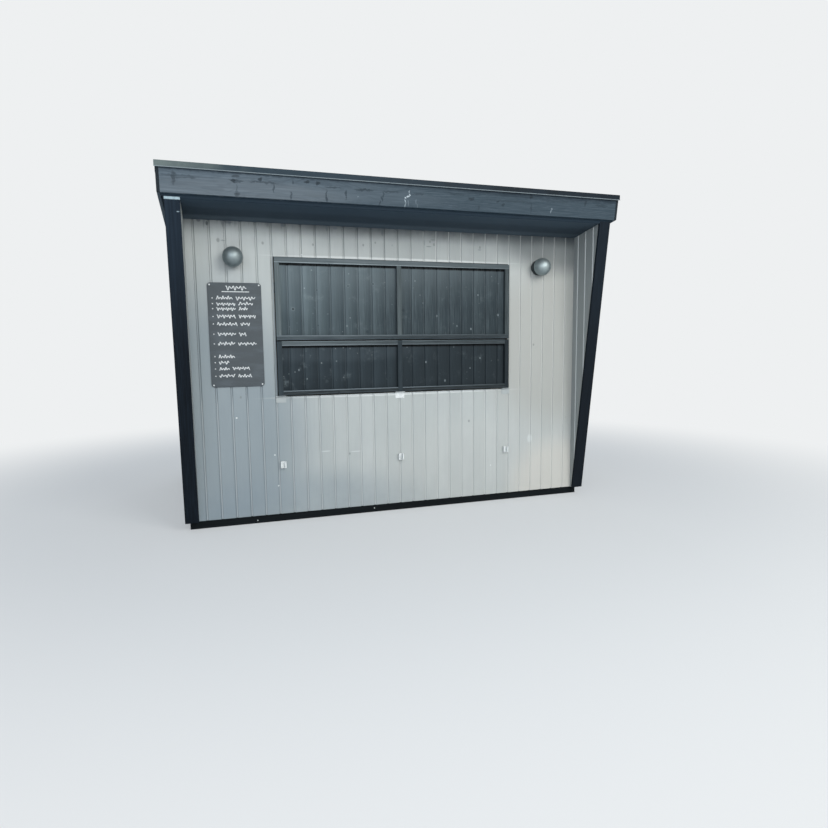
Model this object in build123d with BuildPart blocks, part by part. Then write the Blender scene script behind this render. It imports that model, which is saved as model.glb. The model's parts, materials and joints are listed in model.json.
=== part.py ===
"""Wooden market hut: grey boarded walls between two leaning wings, a two-part serving hatch, and a
roof that falls gently to the back behind a leaning front fascia. Millimetres, +Z up, X along the
front, the front looks towards -Y. The origin is the middle of the hut's outline at ground level."""
from build123d import *
import os
from math import cos, radians, tan

os.makedirs("parts", exist_ok=True)

# Plan and heights
clear_width = 3300          # between the two wings, board face to board face
house_depth = 2400          # from the front boards' face to the back boards' face
rear_overhang = 150         # from the back boards' face to the back of the roof
side_overhang = 56          # from the side boards' face to the bargeboard's face
cladding_bottom = 66        # lower edge of all boards and corner trims
soffit_height = 2350        # underside of the front soffit where it meets the front boards
roof_pitch = 8.5            # fall of the roof towards the back, in degrees
front_lean = 8.25           # forward lean of the wings' front edges and of the fascia, in degrees
wing_reach = 44             # how far the trims' faces stand before the front boards at their foot
barge_reveal = 24           # height of the bargeboards' lower edge above the soffit

# Timber sections
cladding = 19
core = 48
sill_height = 98
sill_width = 48
joist_width = 36
joist_count = 9
floor_board = 22
rafter_width = 36
rafter_depth = 173
rafter_count = 10
soffit_board = 15
deck_board = 18
felt = 5
trim_board = 22
side_trim_board = 15
side_trim_width = 98
fascia_board = 22
barge_board = 21
packer_lift = 12            # from the bargeboard's lower edge up to its packing piece

# Roof edge strip of folded sheet
strip_sheet = 2
strip_height = 44
strip_clear = 3             # between the fascia's top edge and the strip's standing face
strip_return = 70           # flat part that lies on the roof
lip_kick = 9
lip_height = 8
side_strip_proud = 6        # how far the side strips stand out past the bargeboards

# Serving hatch
hatch_margin_left = 638     # from the left wing's boards to the flaps
hatch_margin_right = 660
hatch_bottom = 1022
hatch_split = 1453
hatch_head = 259            # from the flaps' top up to the soffit
flap_gap = 8                # between the two flaps, and above and below them
flap_side_gap = 5
batten_width = 38
batten_proud = 28
ledge_width = 70
ledge_board = 21
ledge_inset = 60            # from the flap's edge to a ledge

# Hinges of the serving hatch
hinge_width = 78
hinge_leaf = 45
hinge_sheet = 2.5
knuckle_radius = 5
knuckle_gap = 0.5
pin_drop = 6                # from the lower flap's edge down to the pin
top_knuckle_radius = 3.5
top_pin_proud = 5
top_leaf_sheet = 1.5
running_gap = 0.3

# Strut seats below the lower flap
seat_height = 468
seat_width = 44
seat_tall = 52
seat_depth = 26
seat_slot = 24

# Menu board
menu_inset = 338            # from the left wing's boards to the board's middle
menu_drop = 108             # from the lamp's hood down to the board's top edge
menu_width = 395
menu_tall = 792
menu_thickness = 6
menu_corner = 25

# Wall lamps
lamp_drop = 273             # from the soffit down to the lamps' middle
lamp_inset_left = 334       # from each wing's boards to the lamp's middle
lamp_inset_right = 366
lamp_base_radius = 66
lamp_base_depth = 30
lamp_neck_radius = 34
lamp_neck_depth = 66
lamp_spigot_radius = 17
lamp_dome_radius = 75
lamp_dome_skirt = 14
lamp_dome_wall = 3
lamp_dome_centre = 78       # from the front boards' face to the middle of the dome's ball

# Side door
door_start = 300            # from the front boards' face to the doorway
door_width = 900
door_head = 138             # wall left over the doorway where the roof is lower
door_gap = 4
door_leaf_board = 45
casing_width = 98
casing_board = 15
handle_height = 1050
handle_inset = 60
handle_plate_width = 40
handle_plate_tall = 220
handle_plate_board = 4
lever_length = 120
lever_radius = 9
lever_proud = 40
strap_inset = 250           # from the door's ends to the outer straps
strap_sheet = 3
strap_length = 360
strap_root = 44
strap_tip = 26
strap_plate_width = 50
strap_plate_tall = 120

# Worked out once for all pieces
half_clear = clear_width / 2
core_inner = half_clear + cladding
core_outer = core_inner + core
board_outer = core_outer + cladding
trim_outer = board_outer + side_trim_board
barge_outer = board_outer + side_overhang
barge_inner = barge_outer - barge_board
fall = tan(radians(roof_pitch))
lean = tan(radians(front_lean))
slope_cos = cos(radians(roof_pitch))
lean_cos = cos(radians(front_lean))
back_core = house_depth - cladding
rear_inner = house_depth + rear_overhang - barge_board
rear_outer = house_depth + rear_overhang

# Heights, over the front boards' face, of the planes that lie parallel to the roof
rafter_under = soffit_height + soffit_board / slope_cos
deck_under = rafter_under + rafter_depth / slope_cos
deck_top = deck_under + deck_board / slope_cos
felt_top = deck_top + felt / slope_cos
barge_under = soffit_height + barge_reveal
packer_under = barge_under + packer_lift

# Depths, at the foot of the boards, of the planes that lie parallel to the leaning front
trim_front = -wing_reach
core_front = trim_front + trim_board / lean_cos
fascia_front = trim_front - fascia_board / lean_cos


def slope_z(depth, height):
    """Height at a depth of the roof-parallel plane that has the given height over the front boards."""
    return height - depth * fall


def lean_y(z, foot):
    """Depth at a height of the front-parallel plane that has the given depth at the boards' foot."""
    return foot - (z - cladding_bottom) * lean


def meet(foot, height):
    """Depth and height of the line where a leaning plane meets a roof-parallel plane."""
    z = (height - fall * foot - cladding_bottom * lean * fall) / (1 - lean * fall)
    return lean_y(z, foot), z


hatch_top = soffit_height - hatch_head
flap_left = hatch_margin_left - half_clear
flap_right = half_clear - hatch_margin_right
flap_width = flap_right - flap_left
hatch_centre = (flap_left + flap_right) / 2
lamp_height = soffit_height - lamp_drop
lamp_places = (lamp_inset_left - half_clear, half_clear - lamp_inset_right)

strip_face = meet(fascia_front, felt_top)[0] - strip_clear
foremost = strip_face - strip_sheet - lip_kick
front_y = -(foremost + rear_outer) / 2


def side_plane(x):
    """Upright plane across the front: first axis to the back, second up, pieces grow towards +X."""
    return Plane(origin=(x, front_y, 0), x_dir=(0, 1, 0), z_dir=(1, 0, 0))


def front_plane(depth):
    """Upright plane along the front: first axis X, second up, pieces grow towards the viewer."""
    return Plane(origin=(0, front_y + depth, 0), x_dir=(1, 0, 0), z_dir=(0, -1, 0))


def level_plane(z):
    """Level plane: first axis runs along X, second to the back, and pieces grow upwards."""
    return Plane(origin=(0, front_y, z), x_dir=(1, 0, 0), z_dir=(0, 0, 1))


def board(plane, low, high, thickness):
    """Squared piece drawn from one corner to the opposite one on a plane."""
    with BuildSketch(plane) as outline:
        with Locations(((low[0] + high[0]) / 2, (low[1] + high[1]) / 2)):
            Rectangle(high[0] - low[0], high[1] - low[1])
    extrude(outline.sketch, amount=thickness)


def profile(plane, points, thickness):
    """Piece with a straight-sided outline on a plane."""
    with BuildSketch(plane) as outline:
        with BuildLine():
            Polyline(*points, close=True)
        make_face()
    extrude(outline.sketch, amount=thickness)


def start(hand, inner, outer):
    """X at which a piece between two distances from the middle begins, on the left (-1) or right (1)."""
    return inner if hand > 0 else -outer


def keep(piece, name):
    """Labels a finished piece and writes its file."""
    piece.part.label = name
    export_step(piece.part, f"parts/{name}.step")


sides = (("left", -1), ("right", 1))

# Base: sills on the ground, joists between them and a boarded floor
with BuildPart() as front_sill:
    board(front_plane(cladding + sill_width), (-core_outer, 0), (core_outer, sill_height), sill_width)
keep(front_sill, "front_sill")

with BuildPart() as back_sill:
    board(front_plane(back_core), (-core_outer, 0), (core_outer, sill_height), sill_width)
keep(back_sill, "back_sill")

sill_back_of_front = cladding + sill_width
sill_front_of_back = back_core - sill_width
for side, hand in sides:
    with BuildPart() as side_sill:
        board(side_plane(start(hand, core_outer - sill_width, core_outer)), (sill_back_of_front, 0),
              (sill_front_of_back, sill_height), sill_width)
    keep(side_sill, f"{side}_sill")

joist_span = 2 * (core_outer - sill_width)
joist_pitch = joist_span / (joist_count + 1)
with BuildPart() as floor_joists:
    for index in range(joist_count):
        middle = -joist_span / 2 + (index + 1) * joist_pitch
        board(side_plane(middle - joist_width / 2), (sill_back_of_front, 0),
              (sill_front_of_back, sill_height), joist_width)
keep(floor_joists, "floor_joists")

with BuildPart() as floor_boards:
    board(level_plane(sill_height), (-core_inner, cladding + core), (core_inner, back_core - core),
          floor_board)
keep(floor_boards, "floor_boards")

# Front wall: four framed panels round the hatch, and the boards that cover them
open_left = flap_left - flap_side_gap
open_right = flap_right + flap_side_gap
open_bottom = hatch_bottom - flap_gap
open_top = hatch_top + flap_gap
wall_face = cladding
wall_back = cladding + core


def wall_top_profile(x, width, low):
    """Front panel from a level lower edge up to the sloping underside of the rafters."""
    profile(side_plane(x), [(wall_face, low), (wall_back, low),
                            (wall_back, slope_z(wall_back, rafter_under)),
                            (wall_face, slope_z(wall_face, rafter_under))], width)


with BuildPart() as front_wall_left:
    wall_top_profile(-core_inner, open_left + core_inner, sill_height)
keep(front_wall_left, "front_wall_left")

with BuildPart() as front_wall_right:
    wall_top_profile(open_right, core_inner - open_right, sill_height)
keep(front_wall_right, "front_wall_right")

with BuildPart() as front_wall_above:
    wall_top_profile(open_left, open_right - open_left, open_top)
keep(front_wall_above, "front_wall_above_hatch")

with BuildPart() as front_wall_below:
    board(front_plane(wall_back), (open_left, sill_height), (open_right, open_bottom), core)
keep(front_wall_below, "front_wall_below_hatch")

with BuildPart() as front_cladding:
    profile(side_plane(-half_clear),
            [(0, cladding_bottom), (cladding, cladding_bottom), (cladding, slope_z(cladding, soffit_height)),
             (0, soffit_height)], clear_width)
    with BuildSketch(front_plane(0)):
        with Locations(((open_left + open_right) / 2, (open_bottom + open_top) / 2)):
            Rectangle(open_right - open_left, open_top - open_bottom)
    extrude(amount=-cladding, mode=Mode.SUBTRACT)
keep(front_cladding, "front_cladding")

# Side walls run on past the front wall as wings, with their front edges leaning forward
door_end = door_start + door_width
door_top = slope_z(door_end, rafter_under) - door_head


def side_panel(leaning, depth_from, depth_to, low, height):
    """Outline of a side panel under a roof-parallel plane, with a leaning or a plumb front edge."""
    if leaning:
        top = meet(core_front, height)
        front = [top, (lean_y(low, core_front), low)]
    else:
        front = [(depth_from, slope_z(depth_from, height)), (depth_from, low)]
    return front + [(depth_to, low), (depth_to, slope_z(depth_to, height))]


with BuildPart() as left_wall:
    profile(side_plane(start(-1, core_inner, core_outer)),
            side_panel(True, 0, back_core, sill_height, rafter_under), core)
keep(left_wall, "left_wall")

with BuildPart() as right_wall_front:
    profile(side_plane(core_inner), side_panel(True, 0, door_start, sill_height, rafter_under), core)
keep(right_wall_front, "right_wall_front")

with BuildPart() as right_wall_back:
    profile(side_plane(core_inner), side_panel(False, door_end, back_core, sill_height, rafter_under), core)
keep(right_wall_back, "right_wall_back")

with BuildPart() as right_wall_above:
    profile(side_plane(core_inner), side_panel(False, door_start, door_end, door_top, rafter_under), core)
keep(right_wall_above, "right_wall_above_door")

with BuildPart() as left_cladding:
    profile(side_plane(start(-1, core_outer, board_outer)),
            side_panel(True, 0, house_depth, cladding_bottom, deck_under), cladding)
keep(left_cladding, "left_cladding")

with BuildPart() as right_cladding:
    profile(side_plane(core_outer), side_panel(True, 0, house_depth, cladding_bottom, deck_under), cladding)
    with BuildSketch(side_plane(core_outer)):
        with Locations(((door_start + door_end) / 2, (sill_height + door_top) / 2)):
            Rectangle(door_width, door_top - sill_height)
    extrude(amount=cladding, mode=Mode.SUBTRACT)
keep(right_cladding, "right_cladding")

with BuildPart() as wing_boards:
    for side, hand in sides:
        profile(side_plane(start(hand, half_clear, core_inner)),
                [meet(core_front, rafter_under), (lean_y(cladding_bottom, core_front), cladding_bottom),
                 (wall_face, cladding_bottom), (wall_face, slope_z(wall_face, rafter_under))], cladding)
keep(wing_boards, "wing_inner_boards")

# Back wall
with BuildPart() as back_wall:
    profile(side_plane(-core_inner),
            [(back_core - core, sill_height), (back_core, sill_height),
             (back_core, slope_z(back_core, rafter_under)),
             (back_core - core, slope_z(back_core - core, rafter_under))], 2 * core_inner)
keep(back_wall, "back_wall")

with BuildPart() as back_cladding:
    profile(side_plane(-core_outer),
            [(back_core, cladding_bottom), (house_depth, cladding_bottom),
             (house_depth, slope_z(house_depth, rafter_under)),
             (back_core, slope_z(back_core, rafter_under))], 2 * core_outer)
keep(back_cladding, "back_cladding")

# Corner trims: a board on the leaning front edge and one along the side, and plumb pairs at the back
for side, hand in sides:
    with BuildPart() as front_trim:
        trim_top = meet(trim_front, rafter_under)
        trim_back_top = meet(core_front, rafter_under)
        profile(side_plane(start(hand, half_clear, trim_outer)),
                [trim_top, (lean_y(cladding_bottom, trim_front), cladding_bottom),
                 (lean_y(cladding_bottom, core_front), cladding_bottom), trim_back_top],
                trim_outer - half_clear)
        return_foot = core_front + side_trim_width / lean_cos
        profile(side_plane(start(hand, board_outer, trim_outer)),
                [meet(core_front, packer_under), (lean_y(cladding_bottom, core_front), cladding_bottom),
                 (lean_y(cladding_bottom, return_foot), cladding_bottom), meet(return_foot, packer_under)],
                side_trim_board)
    keep(front_trim, f"{side}_front_trim")

back_face = house_depth + side_trim_board
for side, hand in sides:
    with BuildPart() as back_trim:
        profile(side_plane(start(hand, board_outer, trim_outer)),
                [(back_face - side_trim_width, cladding_bottom), (back_face, cladding_bottom),
                 (back_face, slope_z(back_face, packer_under)),
                 (back_face - side_trim_width, slope_z(back_face - side_trim_width, packer_under))],
                side_trim_board)
        profile(side_plane(start(hand, trim_outer - side_trim_width, board_outer)),
                [(house_depth, cladding_bottom), (back_face, cladding_bottom),
                 (back_face, slope_z(back_face, soffit_height)),
                 (house_depth, slope_z(house_depth, soffit_height))], side_trim_width - side_trim_board)
    keep(back_trim, f"{side}_back_trim")

# Roof carcass: rafters, sheathing, soffits and the boards round the edges
rafter_span = 2 * core_outer - rafter_width
rafter_pitch = rafter_span / (rafter_count - 1)
with BuildPart() as rafters:
    for index in range(rafter_count):
        middle = -rafter_span / 2 + index * rafter_pitch
        profile(side_plane(middle - rafter_width / 2),
                [meet(core_front, rafter_under), (rear_inner, slope_z(rear_inner, rafter_under)),
                 (rear_inner, slope_z(rear_inner, deck_under)), meet(core_front, deck_under)], rafter_width)
keep(rafters, "rafters")

with BuildPart() as roof_deck:
    profile(side_plane(-barge_inner),
            [meet(trim_front, deck_under), (rear_inner, slope_z(rear_inner, deck_under)),
             (rear_inner, slope_z(rear_inner, deck_top)), meet(trim_front, deck_top)], 2 * barge_inner)
keep(roof_deck, "roof_deck")

with BuildPart() as soffits:
    profile(side_plane(-half_clear),
            [meet(trim_front, soffit_height), (wall_face, slope_z(wall_face, soffit_height)),
             (wall_face, slope_z(wall_face, rafter_under)), meet(trim_front, rafter_under)], clear_width)
    profile(side_plane(-board_outer),
            [(house_depth, slope_z(house_depth, soffit_height)),
             (rear_inner, slope_z(rear_inner, soffit_height)),
             (rear_inner, slope_z(rear_inner, rafter_under)),
             (house_depth, slope_z(house_depth, rafter_under))], 2 * board_outer)
keep(soffits, "soffits")

with BuildPart() as eaves_board:
    profile(side_plane(-barge_inner),
            [meet(trim_front, rafter_under), meet(core_front, rafter_under), meet(core_front, deck_under),
             meet(trim_front, deck_under)], 2 * barge_inner)
keep(eaves_board, "eaves_board")

with BuildPart() as front_fascia:
    profile(side_plane(-barge_inner),
            [meet(fascia_front, barge_under), meet(trim_front, barge_under), meet(trim_front, deck_top),
             meet(fascia_front, deck_top)], 2 * barge_inner)
keep(front_fascia, "front_fascia")

with BuildPart() as rear_fascia:
    profile(side_plane(-barge_inner),
            [(rear_inner, slope_z(rear_inner, soffit_height)),
             (rear_outer, slope_z(rear_outer, soffit_height)),
             (rear_outer, slope_z(rear_outer, deck_top)),
             (rear_inner, slope_z(rear_inner, deck_top))], 2 * barge_inner)
keep(rear_fascia, "rear_fascia")

with BuildPart() as barge_packers:
    for side, hand in sides:
        profile(side_plane(start(hand, board_outer, barge_inner)),
                [meet(core_front, packer_under), (rear_inner, slope_z(rear_inner, packer_under)),
                 (rear_inner, slope_z(rear_inner, deck_under)), meet(core_front, deck_under)],
                barge_inner - board_outer)
keep(barge_packers, "barge_packers")

for side, hand in sides:
    with BuildPart() as bargeboard:
        profile(side_plane(start(hand, barge_inner, barge_outer)),
                [meet(fascia_front, barge_under), (rear_outer, slope_z(rear_outer, barge_under)),
                 (rear_outer, slope_z(rear_outer, deck_top)), meet(fascia_front, deck_top)], barge_board)
    keep(bargeboard, f"{side}_bargeboard")

with BuildPart() as roof_felt:
    profile(side_plane(-barge_outer),
            [meet(fascia_front, deck_top), (rear_outer, slope_z(rear_outer, deck_top)),
             (rear_outer, slope_z(rear_outer, felt_top)), meet(fascia_front, felt_top)], 2 * barge_outer)
keep(roof_felt, "roof_felt")

# Folded strip along the front edge: flat on the felt, plumb in front of the fascia, kicked out at its foot
strip_outer = barge_outer + side_strip_proud
strip_top_z = slope_z(strip_face, felt_top)
with BuildPart() as front_strip:
    with BuildSketch(side_plane(-strip_outer)):
        with BuildLine():
            strip_back = strip_face + strip_return
            lip_z = strip_top_z + strip_sheet - strip_height
            Polyline((strip_back, slope_z(strip_back, felt_top)), (strip_face, strip_top_z),
                     (strip_face, lip_z + lip_height), (strip_face - lip_kick, lip_z),
                     (strip_face - lip_kick - strip_sheet, lip_z),
                     (strip_face - strip_sheet, lip_z + lip_height),
                     (strip_face - strip_sheet, strip_top_z + strip_sheet),
                     (strip_back, slope_z(strip_back, felt_top) + strip_sheet), close=True)
        make_face()
    extrude(amount=2 * strip_outer)
keep(front_strip, "front_drip_strip")

# Side strips: the same sheet folded over each bargeboard's top edge
side_strip_front = strip_face + strip_return
with BuildPart() as side_strips:
    for side, hand in sides:
        for inner, outer, top, foot in (
                (barge_outer - strip_return, strip_outer, felt_top + strip_sheet, felt_top),
                (strip_outer - strip_sheet, strip_outer, felt_top, felt_top - strip_height)):
            profile(side_plane(start(hand, inner, outer)),
                    [(side_strip_front, slope_z(side_strip_front, foot)),
                     (rear_outer, slope_z(rear_outer, foot)), (rear_outer, slope_z(rear_outer, top)),
                     (side_strip_front, slope_z(side_strip_front, top))], outer - inner)
keep(side_strips, "side_drip_strips")

# Serving hatch: two boarded flaps, each with battens on its face and ledges on its back
upper_low = hatch_split + flap_gap / 2
lower_high = hatch_split - flap_gap / 2


def flap(low, high):
    """Boards of one flap, flush with the wall's boards, with three upright ledges on the back."""
    board(front_plane(cladding), (flap_left, low), (flap_right, high), cladding)
    for middle in (flap_left + ledge_inset + ledge_width / 2, hatch_centre,
                   flap_right - ledge_inset - ledge_width / 2):
        board(front_plane(cladding + ledge_board), (middle - ledge_width / 2, low + ledge_inset / 2),
              (middle + ledge_width / 2, high - ledge_inset / 2), ledge_board)


def battens(low, high, rails_run_through):
    """Rails along the top and bottom and three uprights, planted on the boards' face."""
    rail_ends = [(flap_left, flap_right)]
    post_low, post_high = low + batten_width, high - batten_width
    if not rails_run_through:
        post_low, post_high = low, high
        rail_ends = [(flap_left + batten_width, hatch_centre - batten_width / 2),
                     (hatch_centre + batten_width / 2, flap_right - batten_width)]
    for left, right in rail_ends:
        for foot in (low, high - batten_width):
            board(front_plane(0), (left, foot), (right, foot + batten_width), batten_proud)
    for left in (flap_left, hatch_centre - batten_width / 2, flap_right - batten_width):
        board(front_plane(0), (left, post_low), (left + batten_width, post_high), batten_proud)


with BuildPart() as upper_flap:
    flap(upper_low, hatch_top)
keep(upper_flap, "upper_flap")

with BuildPart() as upper_flap_battens:
    battens(upper_low, hatch_top, True)
keep(upper_flap_battens, "upper_flap_battens")

with BuildPart() as lower_flap:
    flap(hatch_bottom, lower_high)
keep(lower_flap, "lower_flap")

with BuildPart() as lower_flap_battens:
    battens(hatch_bottom, lower_high, False)
keep(lower_flap_battens, "lower_flap_battens")

# Lower flap's butt hinges: outer knuckles and a leaf on the wall, middle knuckle and a leaf under the flap
hinge_x = (flap_left + batten_width / 2, hatch_centre, flap_right - batten_width / 2)
pin_z = hatch_bottom - pin_drop
pin_proud = hinge_sheet + knuckle_radius + knuckle_gap
knuckle = hinge_width / 3
flap_leaf_near = pin_proud + knuckle_radius + knuckle_gap
flap_leaf_far = batten_proud - hinge_sheet


def knuckle_at(x, length, depth, z, radius):
    """Round knuckle or pin along X, from x over its length."""
    with BuildSketch(side_plane(x)) as outline:
        with Locations((depth, z)):
            Circle(radius)
    extrude(outline.sketch, amount=length)


with BuildPart() as counter_hinge_plates:
    for middle in hinge_x:
        left = middle - hinge_width / 2
        board(front_plane(0), (left, pin_z - knuckle_radius - hinge_leaf), (left + hinge_width, pin_z),
              hinge_sheet)
        for x in (left, left + 2 * knuckle):
            knuckle_at(x, knuckle, -pin_proud, pin_z, knuckle_radius)
            board(front_plane(0), (x, pin_z - hinge_sheet / 2), (x + knuckle, pin_z + hinge_sheet / 2),
                  pin_proud)
keep(counter_hinge_plates, "counter_hinge_plates")

with BuildPart() as counter_hinge_leaves:
    for middle in hinge_x:
        left = middle - hinge_width / 2
        board(level_plane(hatch_bottom - hinge_sheet), (max(left, flap_left), -flap_leaf_far),
              (min(left + hinge_width, flap_right), -flap_leaf_near), hinge_sheet)
        inner = middle - knuckle / 2 + knuckle_gap
        knuckle_at(inner, knuckle - 2 * knuckle_gap, -pin_proud, pin_z, knuckle_radius)
        board(level_plane(hatch_bottom - hinge_sheet), (inner, -flap_leaf_near),
              (inner + knuckle - 2 * knuckle_gap, -pin_proud), hinge_sheet)
keep(counter_hinge_leaves, "counter_hinge_leaves")

# Upper flap's long hinge: barrel and leaf on the head of the opening, and a leaf along the flap's top edge
top_pin_z = (hatch_top + open_top) / 2
with BuildPart() as top_hinge:
    knuckle_at(flap_left, flap_width, -top_pin_proud, top_pin_z, top_knuckle_radius)
    board(level_plane(open_top - top_leaf_sheet), (flap_left, -top_pin_proud), (flap_right, cladding),
          top_leaf_sheet)
keep(top_hinge, "top_hinge")

with BuildPart() as top_hinge_leaf:
    board(level_plane(hatch_top), (flap_left, -top_pin_proud + top_knuckle_radius + running_gap),
          (flap_right, cladding), top_leaf_sheet)
keep(top_hinge_leaf, "top_hinge_leaf")

# Strut seats: three small shoes, open towards the viewer, screwed to the wall below the lower flap
with BuildPart() as strut_seats:
    for middle in hinge_x:
        board(front_plane(0), (middle - seat_width / 2, seat_height - seat_tall / 2),
              (middle + seat_width / 2, seat_height + seat_tall / 2), seat_depth)
        with BuildSketch(front_plane(-hinge_sheet)):
            with Locations((middle, seat_height + hinge_sheet)):
                Rectangle(seat_slot, seat_tall)
        extrude(amount=seat_depth, mode=Mode.SUBTRACT)
keep(strut_seats, "strut_seats")

# Menu board
menu_x = menu_inset - half_clear
menu_height = lamp_height - lamp_dome_radius - menu_drop - menu_tall / 2
with BuildPart() as menu_board:
    with BuildSketch(front_plane(0)):
        with Locations((menu_x, menu_height)):
            RectangleRounded(menu_width, menu_tall, menu_corner)
    extrude(amount=menu_thickness)
keep(menu_board, "menu_board")

# Wall lamps: a round base with a neck on the wall, and a ball-shaped hood open to the back in front of it
with BuildPart() as lamp_bases:
    for x in lamp_places:
        lamp_plane = Plane(origin=(x, front_y, lamp_height), x_dir=(1, 0, 0), z_dir=(0, -1, 0))
        with BuildSketch(lamp_plane):
            Circle(lamp_base_radius)
        extrude(amount=lamp_base_depth)
        with BuildSketch(lamp_plane):
            Circle(lamp_neck_radius)
        extrude(amount=lamp_neck_depth)
keep(lamp_bases, "wall_lamp_bases")

with BuildPart() as lamp_hoods:
    for x in lamp_places:
        with BuildSketch(Plane(origin=(x, front_y, lamp_height), x_dir=(1, 0, 0), z_dir=(0, 0, 1))):
            with BuildLine():
                outer = lamp_dome_radius
                inner = lamp_dome_radius - lamp_dome_wall
                rim = lamp_dome_skirt - lamp_dome_centre
                middle = -lamp_dome_centre
                Line((outer, rim), (outer, middle))
                CenterArc((0, middle), outer, 0, -90)
                Line((0, middle - outer), (0, middle - inner))
                CenterArc((0, middle), inner, -90, 90)
                Line((inner, middle), (inner, rim))
                Line((inner, rim), (outer, rim))
            make_face()
        revolve(axis=Axis((x, front_y, lamp_height), (0, 1, 0)))
        with BuildSketch(Plane(origin=(x, front_y - lamp_neck_depth, lamp_height), x_dir=(1, 0, 0),
                               z_dir=(0, -1, 0))):
            Circle(lamp_spigot_radius)
        extrude(amount=lamp_dome_centre + lamp_dome_radius - lamp_neck_depth - lamp_dome_wall)
keep(lamp_hoods, "wall_lamp_hoods")

# Side door: a closed leaf flush with its casings, hung on three strap hinges, with a lever handle
door_face = board_outer + casing_board
with BuildPart() as door_leaf:
    board(side_plane(door_face - door_leaf_board), (door_start + door_gap, sill_height + door_gap),
          (door_end - door_gap, door_top - door_gap), door_leaf_board)
keep(door_leaf, "door_leaf")

with BuildPart() as door_casing:
    for low, high in (((door_start - casing_width, cladding_bottom), (door_start, door_top)),
                      ((door_end, cladding_bottom), (door_end + casing_width, door_top))):
        board(side_plane(board_outer), low, high, casing_board)
    board(side_plane(board_outer), (door_start - casing_width, door_top),
          (door_end + casing_width, door_top + casing_width), casing_board)
keep(door_casing, "door_casing")

door_low, door_high = sill_height + door_gap, door_top - door_gap
with BuildPart() as door_hinges:
    for height in (door_low + strap_inset, (door_low + door_high) / 2, door_high - strap_inset):
        board(side_plane(door_face), (door_end, height - strap_plate_tall / 2),
              (door_end + strap_plate_width, height + strap_plate_tall / 2), strap_sheet)
        profile(side_plane(door_face),
                [(door_end, height - strap_root / 2), (door_end, height + strap_root / 2),
                 (door_end - strap_length, height + strap_tip / 2),
                 (door_end - strap_length, height - strap_tip / 2)], strap_sheet)
keep(door_hinges, "door_hinges")

handle_y = door_start + handle_inset + door_gap
with BuildPart() as door_handle:
    board(side_plane(door_face), (handle_y - handle_plate_width / 2, handle_height - handle_plate_tall / 2),
          (handle_y + handle_plate_width / 2, handle_height + handle_plate_tall / 2), handle_plate_board)
    with BuildSketch(side_plane(door_face)):
        with Locations((handle_y, handle_height)):
            Circle(lever_radius)
    extrude(amount=lever_proud)
    lever_start = (door_face + lever_proud - lever_radius, front_y + handle_y, handle_height)
    with BuildSketch(Plane(origin=lever_start, x_dir=(1, 0, 0), z_dir=(0, 1, 0))):
        Circle(lever_radius)
    extrude(amount=lever_length)
keep(door_handle, "door_handle")
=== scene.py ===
import json
import math

import bmesh
import bpy
import numpy as np
from mathutils import Matrix, Vector

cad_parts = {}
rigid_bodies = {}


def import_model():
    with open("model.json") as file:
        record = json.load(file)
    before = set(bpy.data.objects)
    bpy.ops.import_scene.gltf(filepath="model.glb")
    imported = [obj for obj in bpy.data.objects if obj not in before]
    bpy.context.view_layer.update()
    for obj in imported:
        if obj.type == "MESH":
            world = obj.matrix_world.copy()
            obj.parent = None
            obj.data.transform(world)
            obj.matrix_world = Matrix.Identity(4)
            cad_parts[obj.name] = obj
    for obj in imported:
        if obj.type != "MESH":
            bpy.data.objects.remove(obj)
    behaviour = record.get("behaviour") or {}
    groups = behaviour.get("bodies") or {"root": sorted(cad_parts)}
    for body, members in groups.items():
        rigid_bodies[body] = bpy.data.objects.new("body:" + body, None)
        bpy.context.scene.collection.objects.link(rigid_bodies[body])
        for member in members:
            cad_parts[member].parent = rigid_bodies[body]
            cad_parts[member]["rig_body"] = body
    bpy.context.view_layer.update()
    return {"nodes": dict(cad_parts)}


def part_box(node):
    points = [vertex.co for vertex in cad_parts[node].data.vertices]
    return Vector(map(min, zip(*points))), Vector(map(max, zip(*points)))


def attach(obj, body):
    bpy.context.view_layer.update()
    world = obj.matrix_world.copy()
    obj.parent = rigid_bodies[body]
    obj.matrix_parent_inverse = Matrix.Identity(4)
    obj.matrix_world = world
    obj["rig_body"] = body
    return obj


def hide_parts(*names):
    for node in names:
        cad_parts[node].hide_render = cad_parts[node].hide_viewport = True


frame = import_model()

nodes = frame["nodes"]

# Camera: a wide lens 1.4 m above the floor, left of the hut's middle, turned a little to the right and tipped down.
# Its place and angles follow from the hut's own straight edges.
front_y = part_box("front_cladding")[0].y
focal_px, frame_px = 602.59, 828
yaw, pitch, roll = (math.radians(angle) for angle in (17.951, -6.526, -0.649))
eye = Vector((-1.4594, front_y - 4.8536, 1.4083))
ahead = Vector((math.sin(yaw) * math.cos(pitch), math.cos(yaw) * math.cos(pitch), math.sin(pitch)))
level_right = Vector((math.cos(yaw), -math.sin(yaw), 0))
level_up = level_right.cross(ahead)
right = math.cos(roll) * level_right + math.sin(roll) * level_up
up = -math.sin(roll) * level_right + math.cos(roll) * level_up
camera_data = bpy.data.cameras.new("view")
camera_data.sensor_width = 36
camera_data.lens = focal_px / frame_px * camera_data.sensor_width
camera_data.clip_end = 200
camera = bpy.data.objects.new("view", camera_data)
camera.matrix_world = Matrix.Translation(eye) @ Matrix((right, up, -ahead)).transposed().to_4x4()
bpy.context.scene.collection.objects.link(camera)
bpy.context.scene.camera = camera
bpy.context.scene.view_settings.view_transform = "Standard"


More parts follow.
